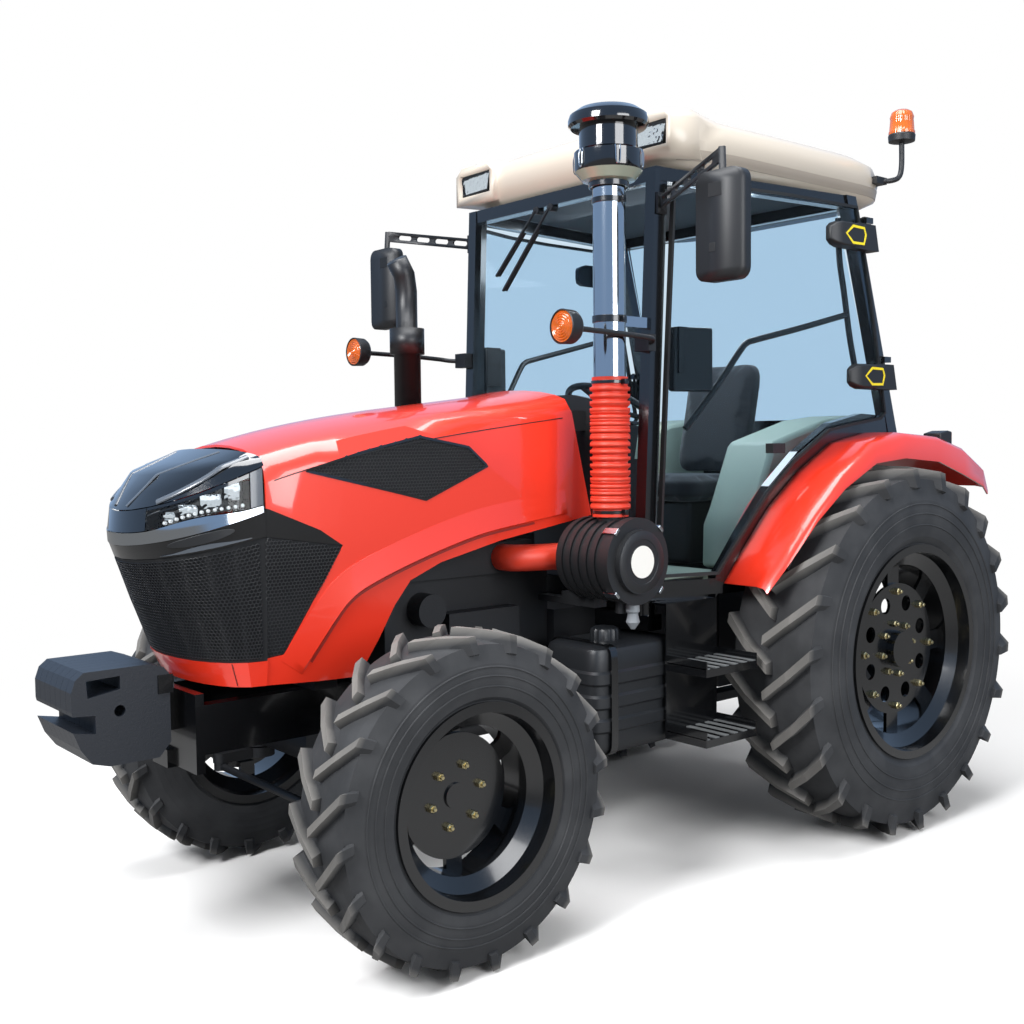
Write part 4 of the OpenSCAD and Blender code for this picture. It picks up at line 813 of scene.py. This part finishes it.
smooth_end = np.clip(np.minimum(hose_z - HOSE_LOW - 24, HOSE_HIGH - 24 - hose_z) / 10, 0, 1)
hose = np.stack((hose_z, 68 + 5.5 * (wave + 0.4) * smooth_end), -1)
elbow = curve(((1368, 429, 1250), (1370, 404, 1250), (1392, 376, 1250), (1458, 345, 1250), (1548, 315, 1250),
               (1593, 290, 1250), (1607, 260, 1250), (1608, 216, 1250)), 40)
piece("red_hose", joined(turned(hose, STACK_AT, up, 40), swept(elbow, circle(52, 24))), red_silicone,
      "chassis", replaces=("intake_hoses",), sharp=60)
CLEANER_AT = np.array((1368.0, 0.0, 1250.0))
LABEL_PROFILE = ((741, 0), (741, 60), (742.2, 60), (742.2, 0))
VALVE_PROFILE = ((0, 0), (0, 24), (30, 26), (36, 20), (44, 20), (70, 26), (96, 8), (98, 0))
cover = ((715, 0), (719, 118), (738, 118), (742, 112), (742, 84), (736, 80), (736, 66), (741, 64), (741, 0))
piece("cleaner_cover", turned(cover, CLEANER_AT, (0, 1, 0), 64), grained_plastic, "chassis")
piece("cleaner_blank_label", turned(LABEL_PROFILE, CLEANER_AT, (0, 1, 0), 48), white_film, "chassis")
clip = boxes(CLEANER_AT + (-14, 660, 158), CLEANER_AT + (14, 728, 170))
valve = turned(VALVE_PROFILE, CLEANER_AT + (0, 690, -158), (0, 0, -1), 24)
piece("cleaner_valve", valve, grey_rubber, "chassis")
piece("cleaner_clips", ringed(clip, CLEANER_AT, (0, 1, 0), (45, 135, 225, 315)), bright_chrome, "chassis",
      bevel=2)
print("intake made")

# %% [markdown]
# ## Lamps on stalks
# Turn signals are black cups with a ribbed amber lens; the beacon is an amber dome with upright ribs
# on a black foot. They replace the plain amber solids, arm for arm and lamp for lamp.

# %% Signals and beacon
PILLAR_FACE_AT_ARM = 1153.0
SIGNAL_AT = (1636, 674, 2098)
lens_radius = np.linspace(57, 0, 40)
lens_depth = 62 + 12 * (1 - (lens_radius / 57) ** 2) + 1.8 * np.cos(lens_radius * 2 * np.pi / 9)
signal_lens = np.stack((lens_depth, lens_radius), -1)
signal_cup = ((0, 0), (0, 34), (8, 52), (20, 60), (66, 62), (68, 58), (60, 56), (60, 0))
arm_path = curve(((PILLAR_FACE_AT_ARM + 20, 600, 2072), (1203, 640, 2075), (1250, 664, 2082),
                  (1420, 666, 2090), (1640, 674, 2096)), 30)
for side, placed in PLACED.items():
    piece(f"signal_lens_{side}", placed(turned(signal_lens, SIGNAL_AT, (1, 0, 0), 40)), amber_lens, "chassis",
          replaces=("amber_lamps",))
    piece(f"signal_cup_{side}", placed(joined(
        turned(signal_cup, SIGNAL_AT, (1, 0, 0), 40), swept(arm_path, circle(10, 12)),
        boxes((PILLAR_FACE_AT_ARM, 535, 2040), (PILLAR_FACE_AT_ARM + 40, 610, 2104)))), grained_plastic,
        "chassis", replaces=("amber_lamps",))
BEACON_AT = np.array((-360.0, 720.0, 0.0))
stalk = curve(((-270, 680, 2860), (-300, 705, 2862), (-340, 719, 2880), (-360, 720, 2930),
               (-360, 720, 3045)), 30)
piece("beacon_stalk", joined(
    swept(stalk, circle(12, 12), upright=(1, 0, 0)), boxes((-290, 600, 2845), (-210, 690, 2875)),
    turned(((3036, 0), (3036, 30), (3042, 58), (3068, 60), (3074, 56), (3074, 0)), BEACON_AT, up)),
    grained_plastic, "chassis", replaces=("amber_lamps",))
dome = ((3074, 0), (3074, 57), (3086, 57), (3090, 54), (3140, 50), (3150, 52), (3156, 50), (3172, 44),
        (3182, 28), (3184, 0))
piece("beacon_dome", turned(dome, BEACON_AT, up, 96, ribs=24, rib_depth=0.9), amber_lens, "chassis",
      replaces=("amber_lamps",))
print("amber lamps made")

# %% [markdown]
# ## Roof lamps and tail lamps
# A lamp in each front corner of the roof has a clear lens over a flat reflector with a bumped face; the tail
# lamps are black boxes with red and amber lenses facing back.

# %% Roof and tail lamps
ROOF_LAMP_LOW, ROOF_LAMP_HIGH = (1076.3, 424.4, 2824.4), (1112.0, 641.6, 2923.6)
ROOF_WINDOW = np.array(((450, 2836), (618, 2832), (635, 2908), (432, 2917)))  # y and height
TAIL_OUTLINE = ((-402, 1717), (-402, 1680), (-500, 1656), (-500, 1724), (-470, 1729))  # x and height
window_path = np.insert(ROOF_WINDOW, 0, 1117, axis=1)
CORNER_LAMPS = (  # name, part, finish, bevel
    ("roof_lamp_body", boxes(ROOF_LAMP_LOW, ROOF_LAMP_HIGH), grained_plastic, 0),
    ("roof_lamp_reflector", slab(ROOF_WINDOW, 1110, 1116, "x"), cut_reflector, 0),
    ("roof_lamp_lens", slab(ROOF_WINDOW, 1118, 1121.8, "x"), lamp_lens, 0),
    ("roof_lamp_surround", swept(window_path, rectangle(9, 9), closed=True, upright=(1, 0, 0)),
     seal_rubber, 0),
    ("tail_lamp_body", slab(TAIL_OUTLINE, 816, 904), grained_plastic, 5),
    ("tail_lamp_red", boxes((-506, 820, 1662), (-499, 860, 1720)), tail_red, 2),
    ("tail_lamp_amber", boxes((-506, 862, 1662), (-499, 900, 1720)), amber_lens, 2),
)
for side, placed in PLACED.items():
    for name, part, material, bevel in CORNER_LAMPS:
        piece(f"{name}_{side}", placed(part), material, "chassis", replaces=("work_lamps",), bevel=bevel)
print("roof and tail lamps made")

# %% [markdown]
# ## Mirrors
# A mirror head is a black shell on a pressed arm with slots, which the solid already has. What it lacks
# is the glass in its back and two blank covers in its front.

# %% Mirrors
MIRROR_AT = np.array((1272.0, 1040.0, 2440.0))
for side, placed in PLACED.items():
    glass = pebble(MIRROR_AT - (28, 0, 0), (2.5, 86, 174), 0.25, 40)
    piece(f"mirror_glass_{side}", placed(glass), mirror_glass, "chassis")
    covers = boxes(MIRROR_AT + ((27, -44, 100), (27, -40, -90)),
                   MIRROR_AT + ((29.2, 16, 148), (29.2, -12, -58)))
    piece(f"mirror_covers_{side}", placed(covers), seal_rubber, "chassis", bevel=2)
print("mirrors made")

# %% [markdown]
# ## Door seals, bars and hinge covers
# A glass door has a rubber bead round its edge, a diagonal pull bar inside and two hinge covers with a
# yellow outline. The bead is carried round the door's own outline, on the bowed side of the cab.

# %% Doors
DOOR_ROWS = np.array((  # height, front x, rear x
    (1165, 1128, 868), (1290, 1122, 780), (1480, 1112, 616), (1600, 1106, 478), (1740, 1099, 228),
    (1790, 1096, -168), (2000, 1086, -118), (2300, 1072, -50), (2640, 1056, 45), (2690, 1050, 60)), float)
CAB_BOW = np.array(((-260, 752), (0, 750), (500, 730), (770, 690), (1090, 590), (1160, 578)), float)
PULL_BAR = ((985, 1742), (960, 1770), (850, 1905), (735, 2055), (700, 2086), (655, 2100), (400, 2158),
            (120, 2224), (82, 2232))  # x and height
REAR_BAR = ((142, 2640), (140, 2560), (128, 2450), (100, 2330), (60, 2150), (28, 2040), (20, 2010))
HINGE_COVER = ((70, 58, 0), (232, 56, 0), (266, 46, 12), (288, 28, 30))  # forward of pin, half height, fall
HINGE_OUTLINE = ((76, 6), (88, 33), (168, 35), (216, 0), (168, -35), (88, -33))
LATCH_COVER = ((1044, 570), (1044, 606), (930, 640), (872, 657), (872, 628), (930, 606))  # x and y
HINGES = ((1966, -165.0, 811.4), (2560, -17.7, 810.0))  # height, pin x, face y


def cab_side(x):
    """Half width of the cab at x."""
    return np.interp(x, CAB_BOW[:, 0], CAB_BOW[:, 1])


def door_edge():
    """The door's outline as a closed path: up the front edge, back along the top, down the rear edge."""
    z = np.linspace(DOOR_ROWS[0, 0], DOOR_ROWS[-1, 0], 60)
    front = np.stack((np.interp(z, DOOR_ROWS[:, 0], DOOR_ROWS[:, 1]), z), -1)
    rear = np.stack((np.interp(z, DOOR_ROWS[:, 0], DOOR_ROWS[:, 2]), z), -1)[::-1]
    t = np.linspace(0, 1, 24)[1:-1, None]
    top = front[-1] + t * (rear[0] - front[-1])
    foot = rear[-1] + t * (front[0] - rear[-1])
    x, z = np.concatenate((front, top, rear, foot)).T
    return np.stack((x, cab_side(x) + 13, z), -1)


for side, placed in PLACED.items():
    body = f"{side}_door"
    bead = swept(door_edge(), rectangle(12, 20), closed=True, upright=(0, 1, 0))
    piece(f"door_bead_{side}", placed(bead), seal_rubber, body)
    bars = [curve(np.insert(stops, 1, cab_side(np.array(stops)[:, 0]) - inset, axis=1), 40)
            for stops, inset in ((PULL_BAR, 14.0), (REAR_BAR, 15.0))]
    bars = joined(*(swept(bar, circle(13, 12), upright=(0, 1, 0)) for bar in bars))
    piece(f"door_pull_bar_{side}", placed(bars), grained_plastic, body)
    cover = slab(LATCH_COVER, 1888, 2140, "z")
    piece(f"door_latch_cover_{side}", placed(cover), grained_plastic, body, bevel=9)
    outline, covers = [], []
    for z, x, face in HINGES:
        reach, half, fall = np.array(HINGE_COVER, float).T
        edge_x = x + reach
        inner, outer = cab_side(edge_x) + 16.6, face + 1.2 - fall
        covers.append(skin(np.stack([np.stack((edge_x, y, z + share * half), -1) for y, share in (
            (inner, -1), (outer, -0.86), (outer, 0.86), (inner, 1))], 1)))
        hexagon = np.array(HINGE_OUTLINE) + (x, z)
        path = np.insert(hexagon, 1, face + 1.8, axis=1)
        outline.append(swept(path, rectangle(11, 2.4), closed=True, upright=(0, 1, 0)))
    piece(f"hinge_outline_{side}", placed(joined(*outline)), yellow_line, body)
    piece(f"hinge_covers_{side}", placed(joined(*covers)), grained_plastic, body, bevel=5)
print("doors dressed")

# %% [markdown]
# ## Bonnet shut line
# A narrow dark gap parts the bonnet's top from its side. It follows the crease a little below the
# shoulder, by the same heights that shaped the shell.

# %% Shut line
SHUT_REAR_X, SHUT_FRONT_X = 1420.0, 2660.0


def crease_height(x):
    """Height of the bonnet's shoulder: a slope with a fourth-power fall towards the nose."""
    return 1836 - 0.115 * (x - 1290) - 62 * ((x - 1290) / 1355) ** 4


shut_x = np.linspace(SHUT_REAR_X, SHUT_FRONT_X, 50)
shut_z = crease_height(shut_x) - 34
shut = np.stack((shut_x, bonnet_side(shut_x, shut_z) + 0.1, shut_z), -1)
gap = swept(shut, rectangle(3.5, 1.2), upright=(0, 1, 0))
piece("bonnet_shut_lines", joined(gap, mirrored(gap)), seal_rubber, "bonnet")
print("shut lines made")

# %% [markdown]
# ## Crease over the wheel arch
# The bonnet's side stands a little proud of the flange round the arch and steps in along a crease. The
# crease is a strip that swells from nothing to its edge and drops back at once; its height fades at the
# ends by a sine. A dull dark red strip just below the edge is painted shadow.

# %% Arch crease
CREASE = ((1400, 1420), (1636, 1391), (1853, 1358), (2101, 1292), (2300, 1222), (2390, 1172), (2450, 1105),
          (2494, 1045), (2570, 940))  # x and height
CREASE_PROFILE = np.array(((90, 0.2), (45, 4.5), (0, 11), (-7, 0.2), (-7, -2), (90, -2)))  # above, out

crease = curve(CREASE, 90)
along = unit(np.gradient(crease, axis=0))
above = np.stack((-along[:, 1], along[:, 0]), -1)
above *= np.sign(above[:, 1:])
fade_out = np.sin(np.linspace(0.05, np.pi - 0.05, len(crease))) ** 0.5
x, z = np.moveaxis(crease[:, None] + CREASE_PROFILE[None, :, :1] * above[:, None], -1, 0)
swell = CREASE_PROFILE[None, :, 1] * np.where(CREASE_PROFILE[:, 1] > 0, fade_out[:, None], 1)
step = skin(np.stack((x, bonnet_side(x, z) + swell, z), -1))
piece("arch_creases", joined(step, mirrored(step)), red_enamel, "bonnet", sharp=28)
# Painted shadow: a dull dark red strip just below the crease stands in for the shade that the step would
# cast.
line_x, line_z = (crease - 12 * above)[8:-4].T
line_path = np.stack((line_x, bonnet_side(line_x, line_z) + 0.3, line_z), -1)
crease_shadow_strip = swept(line_path, rectangle(9, 1.2), upright=(0, 1, 0))
piece("arch_crease_painted_shadows", joined(crease_shadow_strip, mirrored(crease_shadow_strip)), painted_red_shadow, "bonnet")
print("arch creases made")

# %% [markdown]
# ## Windscreen wipers and the roof's lining
# Two wipers hang from the top of the windscreen and lie against it. Inside, a felt lining closes the
# roof above the driver.

# %% Wipers and lining
WIPER_HUB = ((-14, 0), (-14, 16), (24, 16), (24, 0))
LINING = ((1080, -500), (1080, 500), (60, 640), (60, -640))  # x and y


def screen_x(z):
    """Outer face of the leaning windscreen at a height."""
    return 1160 - 72 * (z - 1131) / 1620.7 + 6


def wiper(y_top, z_top, y_low, z_low, blade):
    """An arm down the screen and a blade along its lower part."""
    t = np.linspace(0, 1, 16)
    y, z = y_top + (y_low - y_top) * t, z_top + (z_low - z_top) * t
    arm = np.stack((screen_x(z) + 26 - 12 * t, y, z), -1)
    lower = t > 1 - blade
    return joined(swept(arm, rectangle(9, 9), upright=(1, 0, 0)),
                  swept(arm[lower] + (-8, 10, 0), rectangle(6, 14), upright=(1, 0, 0)),
                  turned(WIPER_HUB, (screen_x(z_top) + 2, y_top, z_top), (1, 0, 0), 24))


wipers = joined(wiper(-30, 2690, -340, 2370, 0.75), wiper(-120, 2690, -390, 2440, 0.7))
piece("wipers", wipers, grained_plastic, "chassis")
piece("roof_lining", slab(LINING, 2744, 2750, "z"), lining, "chassis")
print("wipers and lining made")

# %% [markdown]
# ## Consoles and mat
# A moulded console stands over each fender beside the seat, with a sloping top, and a ribbed mat covers
# the floor. The console is one side outline given width; the bevel rounds its moulded edges.

# %% Consoles and mat
CONSOLE = ((572, 1139), (566, 1330), (525, 1400), (402, 1668), (376, 1690), (20, 1782), (-225, 1806),
           (-229, 1139))  # x and height
MAT_HALF, MAT_FOOT, MAT_RIB = 500, 1131.4, 20
for side, placed in PLACED.items():
    piece(f"console_{side}", placed(slab(CONSOLE, 330, 588.5)), console_plastic, "chassis", bevel=22)
mat_x = np.linspace(580, 1120, 109)
mat_z = 1134.5 + 1.5 * np.cos(mat_x * 2 * np.pi / MAT_RIB)
foot_z = np.full_like(mat_x, MAT_FOOT)
corners = ((-MAT_HALF, mat_z), (MAT_HALF, mat_z), (MAT_HALF, foot_z), (-MAT_HALF, foot_z))
mat = np.stack([np.stack((mat_x, np.full_like(mat_x, y), z), -1) for y, z in corners], 1)
piece("floor_mat", skin(mat), floor_mat, "chassis")
print("consoles and mat made")

# %% [markdown]
# ## Fuel tank and step treads
# The tank is blown plastic with soft corners: level rings, each a rounded rectangle made by cosines and
# sines raised to a power, swell at three ribs. A strap goes round it. The treads are worn bright between
# their slots. Six shallow splines run along the power take-off stub, a cosine ripple of its radius.

# %% Tank and treads
TANK_MIDDLE, TANK_HALF = np.array((1250.0, 456.0)), np.array((230.0, 156.0))
TANK_ROWS = np.array((  # height, swell
    (510, -26), (516, -12), (530, -2), (546, 0), (594, 0), (604, 8), (641, 8), (651, 0), (684, 0),
    (694, 8), (731, 8), (741, 0), (774, 0), (784, 8), (821, 8), (831, 0),
    (895, 0), (912, -6), (922, -20), (925, -40)), float)
CAP_PROFILE = ((0, 0), (0, 55), (34, 55), (44, 50), (50, 38), (50, 0))
SPLINE_PROFILE = ((0, 0), (0, 17.2), (66, 17.2), (70, 15), (70, 0))
CORNER_POWER = 0.3
STEP_EDGES = np.array(((0, 24), (56, 79), (111, 134), (166, 189), (221, 244), (276, 300))) + 828.0


def soft_ring(angle, power=CORNER_POWER):
    """Points of a rounded square of half size one."""
    wave = np.stack((np.cos(angle), np.sin(angle)), -1)
    return np.sign(wave) * np.abs(wave) ** power


turn = np.linspace(0, 2 * np.pi, 72, endpoint=False)
level = TANK_MIDDLE + (TANK_HALF + TANK_ROWS[:, None, 1:]) * soft_ring(turn)[None]
tank = skin(np.concatenate((level, np.broadcast_to(TANK_ROWS[:, None, :1], level.shape[:2] + (1,))), -1))
cap = turned(CAP_PROFILE, (1300, 470, 924), (0, 0, 1), 48, ribs=16, rib_depth=2.0)
feet = boxes(((1100, 230.3, 620), (1370, 190.3, 660)), ((1130, 304, 660), (1400, 304, 700)))
piece("moulded_tank", joined(tank, cap, feet), tank_plastic, "chassis", replaces=("fuel_tank",))
strap_path = np.insert(soft_ring(turn, 0.2) * (169, 211.5) + (456, 717.5), 0, 1400, axis=1)
strap = swept(strap_path, rectangle(3, 34), closed=True, upright=(1, 0, 0))
piece("tank_strap", strap, black_enamel, "chassis")
treads = [boxes(np.stack([(low, 640, z + 29.5) for low, _ in STEP_EDGES]),
                np.stack([(high, 838, z + 33) for _, high in STEP_EDGES])) for z in (530, 800)]
piece("step_treads", joined(*treads, *(mirrored(tread) for tread in treads)), worn_steel, "chassis")
splines = turned(SPLINE_PROFILE, (-310.5, 0, 700), (-1, 0, 0), 72, ribs=6, rib_depth=1.0)
piece("power_take_off_splines", splines, bright_chrome, "chassis", sharp=25)
print("tank, treads and splines made")

# %% [markdown]
# ## Band of the roof
# A shaded recess runs along each side of the roof below its shoulder. It follows the roof's own plan, a
# rounded rectangle made by cosines and sines raised to the power 0.3.

# %% Roof band
ROOF_MIDDLE_X, ROOF_HALF_LENGTH = 360.0, 755.0


def roof_side(angle, z, lift):
    """A point on the roof's side, moved out by lift; the plan narrows towards the front and the foot."""
    c, sine = np.cos(angle), np.sin(angle)
    half = 700 + (655 - 700) * (c + 1) / 2
    inset = np.interp(z, (2752, 2778, 2861.4), (62, 14, 0)) - lift
    return np.stack(np.broadcast_arrays(
        ROOF_MIDDLE_X + np.sign(c) * np.abs(c) ** 0.3 * (ROOF_HALF_LENGTH - inset),
        np.abs(sine) ** 0.3 * (half - inset), z), -1)


band_angle = np.radians(np.linspace(48, 150, 60))[:, None]
band_z = np.array((2784, 2800, 2824, 2826, 2824, 2800, 2784))[None, :]
band = roof_side(band_angle, band_z, np.array((1.5, 1.5, 1.5, 0, -1, -1, -1))[None, :])
piece("roof_bands", joined(skin(band), mirrored(skin(band))), roof_shade, "chassis", sharp=60)
print("roof bands made")

# %% [markdown]
# ## Seat
# Cushion and back are foam in woven cloth, so they are stuffed by a cloth simulation: a slightly
# smaller block is remeshed, blown up from inside with gravity off, and each point's travel is capped.

# %% Padded seat
VOXEL = 9.0
SWELL_CAP = 16.0


def stuffed(name, part, body, replaces):
    """A cushion: remeshed, swollen by cloth with inner pressure, its travel capped, then smoothed."""
    obj = piece(name, part, seat_cloth, body, replaces=replaces)
    mesh_of = obj.data
    remesh = obj.modifiers.new("remesh", "REMESH")
    remesh.mode = "VOXEL"
    remesh.voxel_size = VOXEL * METRE
    graph = bpy.context.evaluated_depsgraph_get()
    obj.data = bpy.data.meshes.new_from_object(obj.evaluated_get(graph))
    obj.modifiers.clear()
    bpy.data.meshes.remove(mesh_of)
    scene = bpy.context.scene
    cloth = obj.modifiers.new("stuffing", "CLOTH")
    cloth.settings.use_pressure = True
    cloth.settings.uniform_pressure_force = 4.0
    cloth.settings.effector_weights.gravity = 0.0
    rest = np.array([v.co for v in obj.data.vertices])
    for step in range(1, 21):
        scene.frame_set(step)
    graph = bpy.context.evaluated_depsgraph_get()
    swollen = bpy.data.meshes.new_from_object(obj.evaluated_get(graph))
    moved = np.empty(len(swollen.vertices) * 3)
    swollen.vertices.foreach_get("co", moved)
    travel = moved.reshape(-1, 3) - rest
    length = np.linalg.norm(travel, axis=1, keepdims=True)
    capped = rest + travel * np.minimum(1, SWELL_CAP * METRE / np.maximum(length, 1e-9))
    obj.modifiers.clear()
    obj.data.vertices.foreach_set("co", capped.ravel())
    bpy.data.meshes.remove(swollen)
    scene.frame_set(1)
    obj.data.shade_smooth()
    return obj


cushion = pebble((322, 0, 1478), (222, 232, 46), 0.3, 48)
stuffed("seat_cushion", cushion, "chassis", ("seat",))
lean = np.array((-120 / 580, 0, 1))
back_points, back_faces = pebble((0, 0, 0), (36, 220, 268), 0.3, 48)
back_points = back_points + (56, 0, 1800) + back_points[:, 2:3] * lean * (1, 0, 0)
stuffed("seat_back", (back_points, back_faces), "chassis", ("seat",))
base = slab(((140, -165), (460, -165), (460, 165), (140, 165)), 1132, 1424, "z")
piece("seat_base", base, grained_plastic, "chassis", replaces=("seat",), bevel=20)
print("seat made")

# %% [markdown]
# ## Studio floor
# A pale floor runs out into plain white. It shows as white to the camera and through glass, and sends
# only part of its light back up, so that the tractor's underside stays dark as it does on the ground.

# %% Floor
FLOOR_HALF, FLOOR_DROP = 60000.0, 0.5
FLOOR_BOUNCE, FLOOR_SEEN = 0.30, 0.93  # tone for the tractor, tone for the camera
FADE_START, FADE_END = 2.2, 5.2  # metres from the middle
floor_points = np.array(((-1, -1), (1, -1), (1, 1), (-1, 1))) * FLOOR_HALF
floor_mesh = bpy.data.meshes.new("floor")
floor_mesh.from_pydata(metres(np.insert(floor_points, 2, -FLOOR_DROP, axis=1)).tolist(), [], [(0, 1, 2, 3)])
floor_paint = finish("pale_floor", "#F6F6F5", 0.9, "roof_beige")
near_shader = floor_paint.node_tree.nodes["Principled BSDF"]
paint_end = floor_paint.node_tree.nodes["Material Output"]
place = add(floor_paint, "ShaderNodeTexCoord")
distance = add(floor_paint, "ShaderNodeVectorMath", {"operation": "LENGTH"}, {0: (place, "Object")})
fade = add(floor_paint, "ShaderNodeMapRange",
           {"interpolation_type": "SMOOTHSTEP", "From Min": FADE_START, "From Max": FADE_END},
           {"Value": (distance, "Value")})
floor_path = add(floor_paint, "ShaderNodeLightPath")
seen = add(floor_paint, "ShaderNodeMath", {"operation": "MAXIMUM"},
           {0: (floor_path, "Is Camera Ray"), 1: (floor_path, "Is Transmission Ray")})
tone = add(floor_paint, "ShaderNodeMapRange", {"To Min": FLOOR_BOUNCE, "To Max": FLOOR_SEEN},
           {"Value": (seen, "Value")})
glow = add(floor_paint, "ShaderNodeMapRange", {"To Min": FLOOR_BOUNCE, "To Max": 1.0},
           {"Value": (seen, "Value")})
far_white = add(floor_paint, "ShaderNodeEmission", links={"Strength": (glow, "Result")})
blend = add(floor_paint, "ShaderNodeMixShader",
            links={0: (fade, "Result"), 1: (near_shader, "BSDF"), 2: (far_white, "Emission")})
floor_paint.node_tree.links.new(tone.outputs["Result"], near_shader.inputs["Base Color"])
floor_paint.node_tree.links.new(blend.outputs["Shader"], paint_end.inputs["Surface"])
floor_mesh.materials.append(floor_paint)
floor = bpy.data.objects.new("floor", floor_mesh)
bpy.context.scene.collection.objects.link(floor)
print("floor laid")

# %% [markdown]
# ## Surround and lamps
# The surround is white to the camera and through glass, and clear sky in glossy paint. The light on the
# tractor stays plain: a wide soft lamp above, a key, a fill and one in the cab.

# %% Surround and lamps
AMBIENT = 0.30
SKY_GLOSS = (1.1, 1.6, 2.4, 1.0)
AIM_AT = Vector((0, 0, 1.2))
LAMPS = (  # name, place and size in metres, watts
    ("top_light", (0.5, 0.5, 8.0), 5.0, 620),
    ("key_light", (6.5, 1.5, 5.5), 2.4, 640),
    ("fill_light", (0.5, 7.5, 3.5), 4.0, 360),
    ("cab_light", (-0.55, 0.0, 2.70), 0.9, 26),
)

world = bpy.data.worlds.new("white_surround")
bpy.context.scene.world = world
world.use_nodes = True
surround = world.node_tree.nodes["Background"]
path = add(world, "ShaderNodeLightPath")
through_too = add(world, "ShaderNodeMath", {"operation": "MAXIMUM"},
                  {0: (path, "Is Camera Ray"), 1: (path, "Is Transmission Ray")})
gloss_only = add(world, "ShaderNodeMath", {"operation": "SUBTRACT", "use_clamp": True},
                 {0: (path, "Is Glossy Ray"), 1: (path, "Is Transmission Ray")})
strength = add(world, "ShaderNodeMapRange", {"To Min": AMBIENT, "To Max": 1.0},
               {"Value": (through_too, "Value")})
sky = add(world, "ShaderNodeMixRGB", {"Color1": (1, 1, 1, 1), "Color2": SKY_GLOSS},
          {"Fac": (gloss_only, "Value")})
world.node_tree.links.new(sky.outputs["Color"], surround.inputs["Color"])
world.node_tree.links.new(strength.outputs["Result"], surround.inputs["Strength"])


def softbox(name, at, size, watts):
    """A square area lamp aimed at the middle of the tractor."""
    data = bpy.data.lights.new(name, "AREA")
    data.size = size
    data.energy = watts
    lamp = bpy.data.objects.new(name, data)
    lamp.location = at
    lamp.rotation_euler = (AIM_AT - Vector(at)).to_track_quat("-Z", "Y").to_euler()
    lamp.visible_camera = lamp.visible_transmission = False
    bpy.context.scene.collection.objects.link(lamp)


for lamp in LAMPS:
    softbox(*lamp)
bpy.context.scene.view_settings.view_transform = "Standard"
print("studio lit")
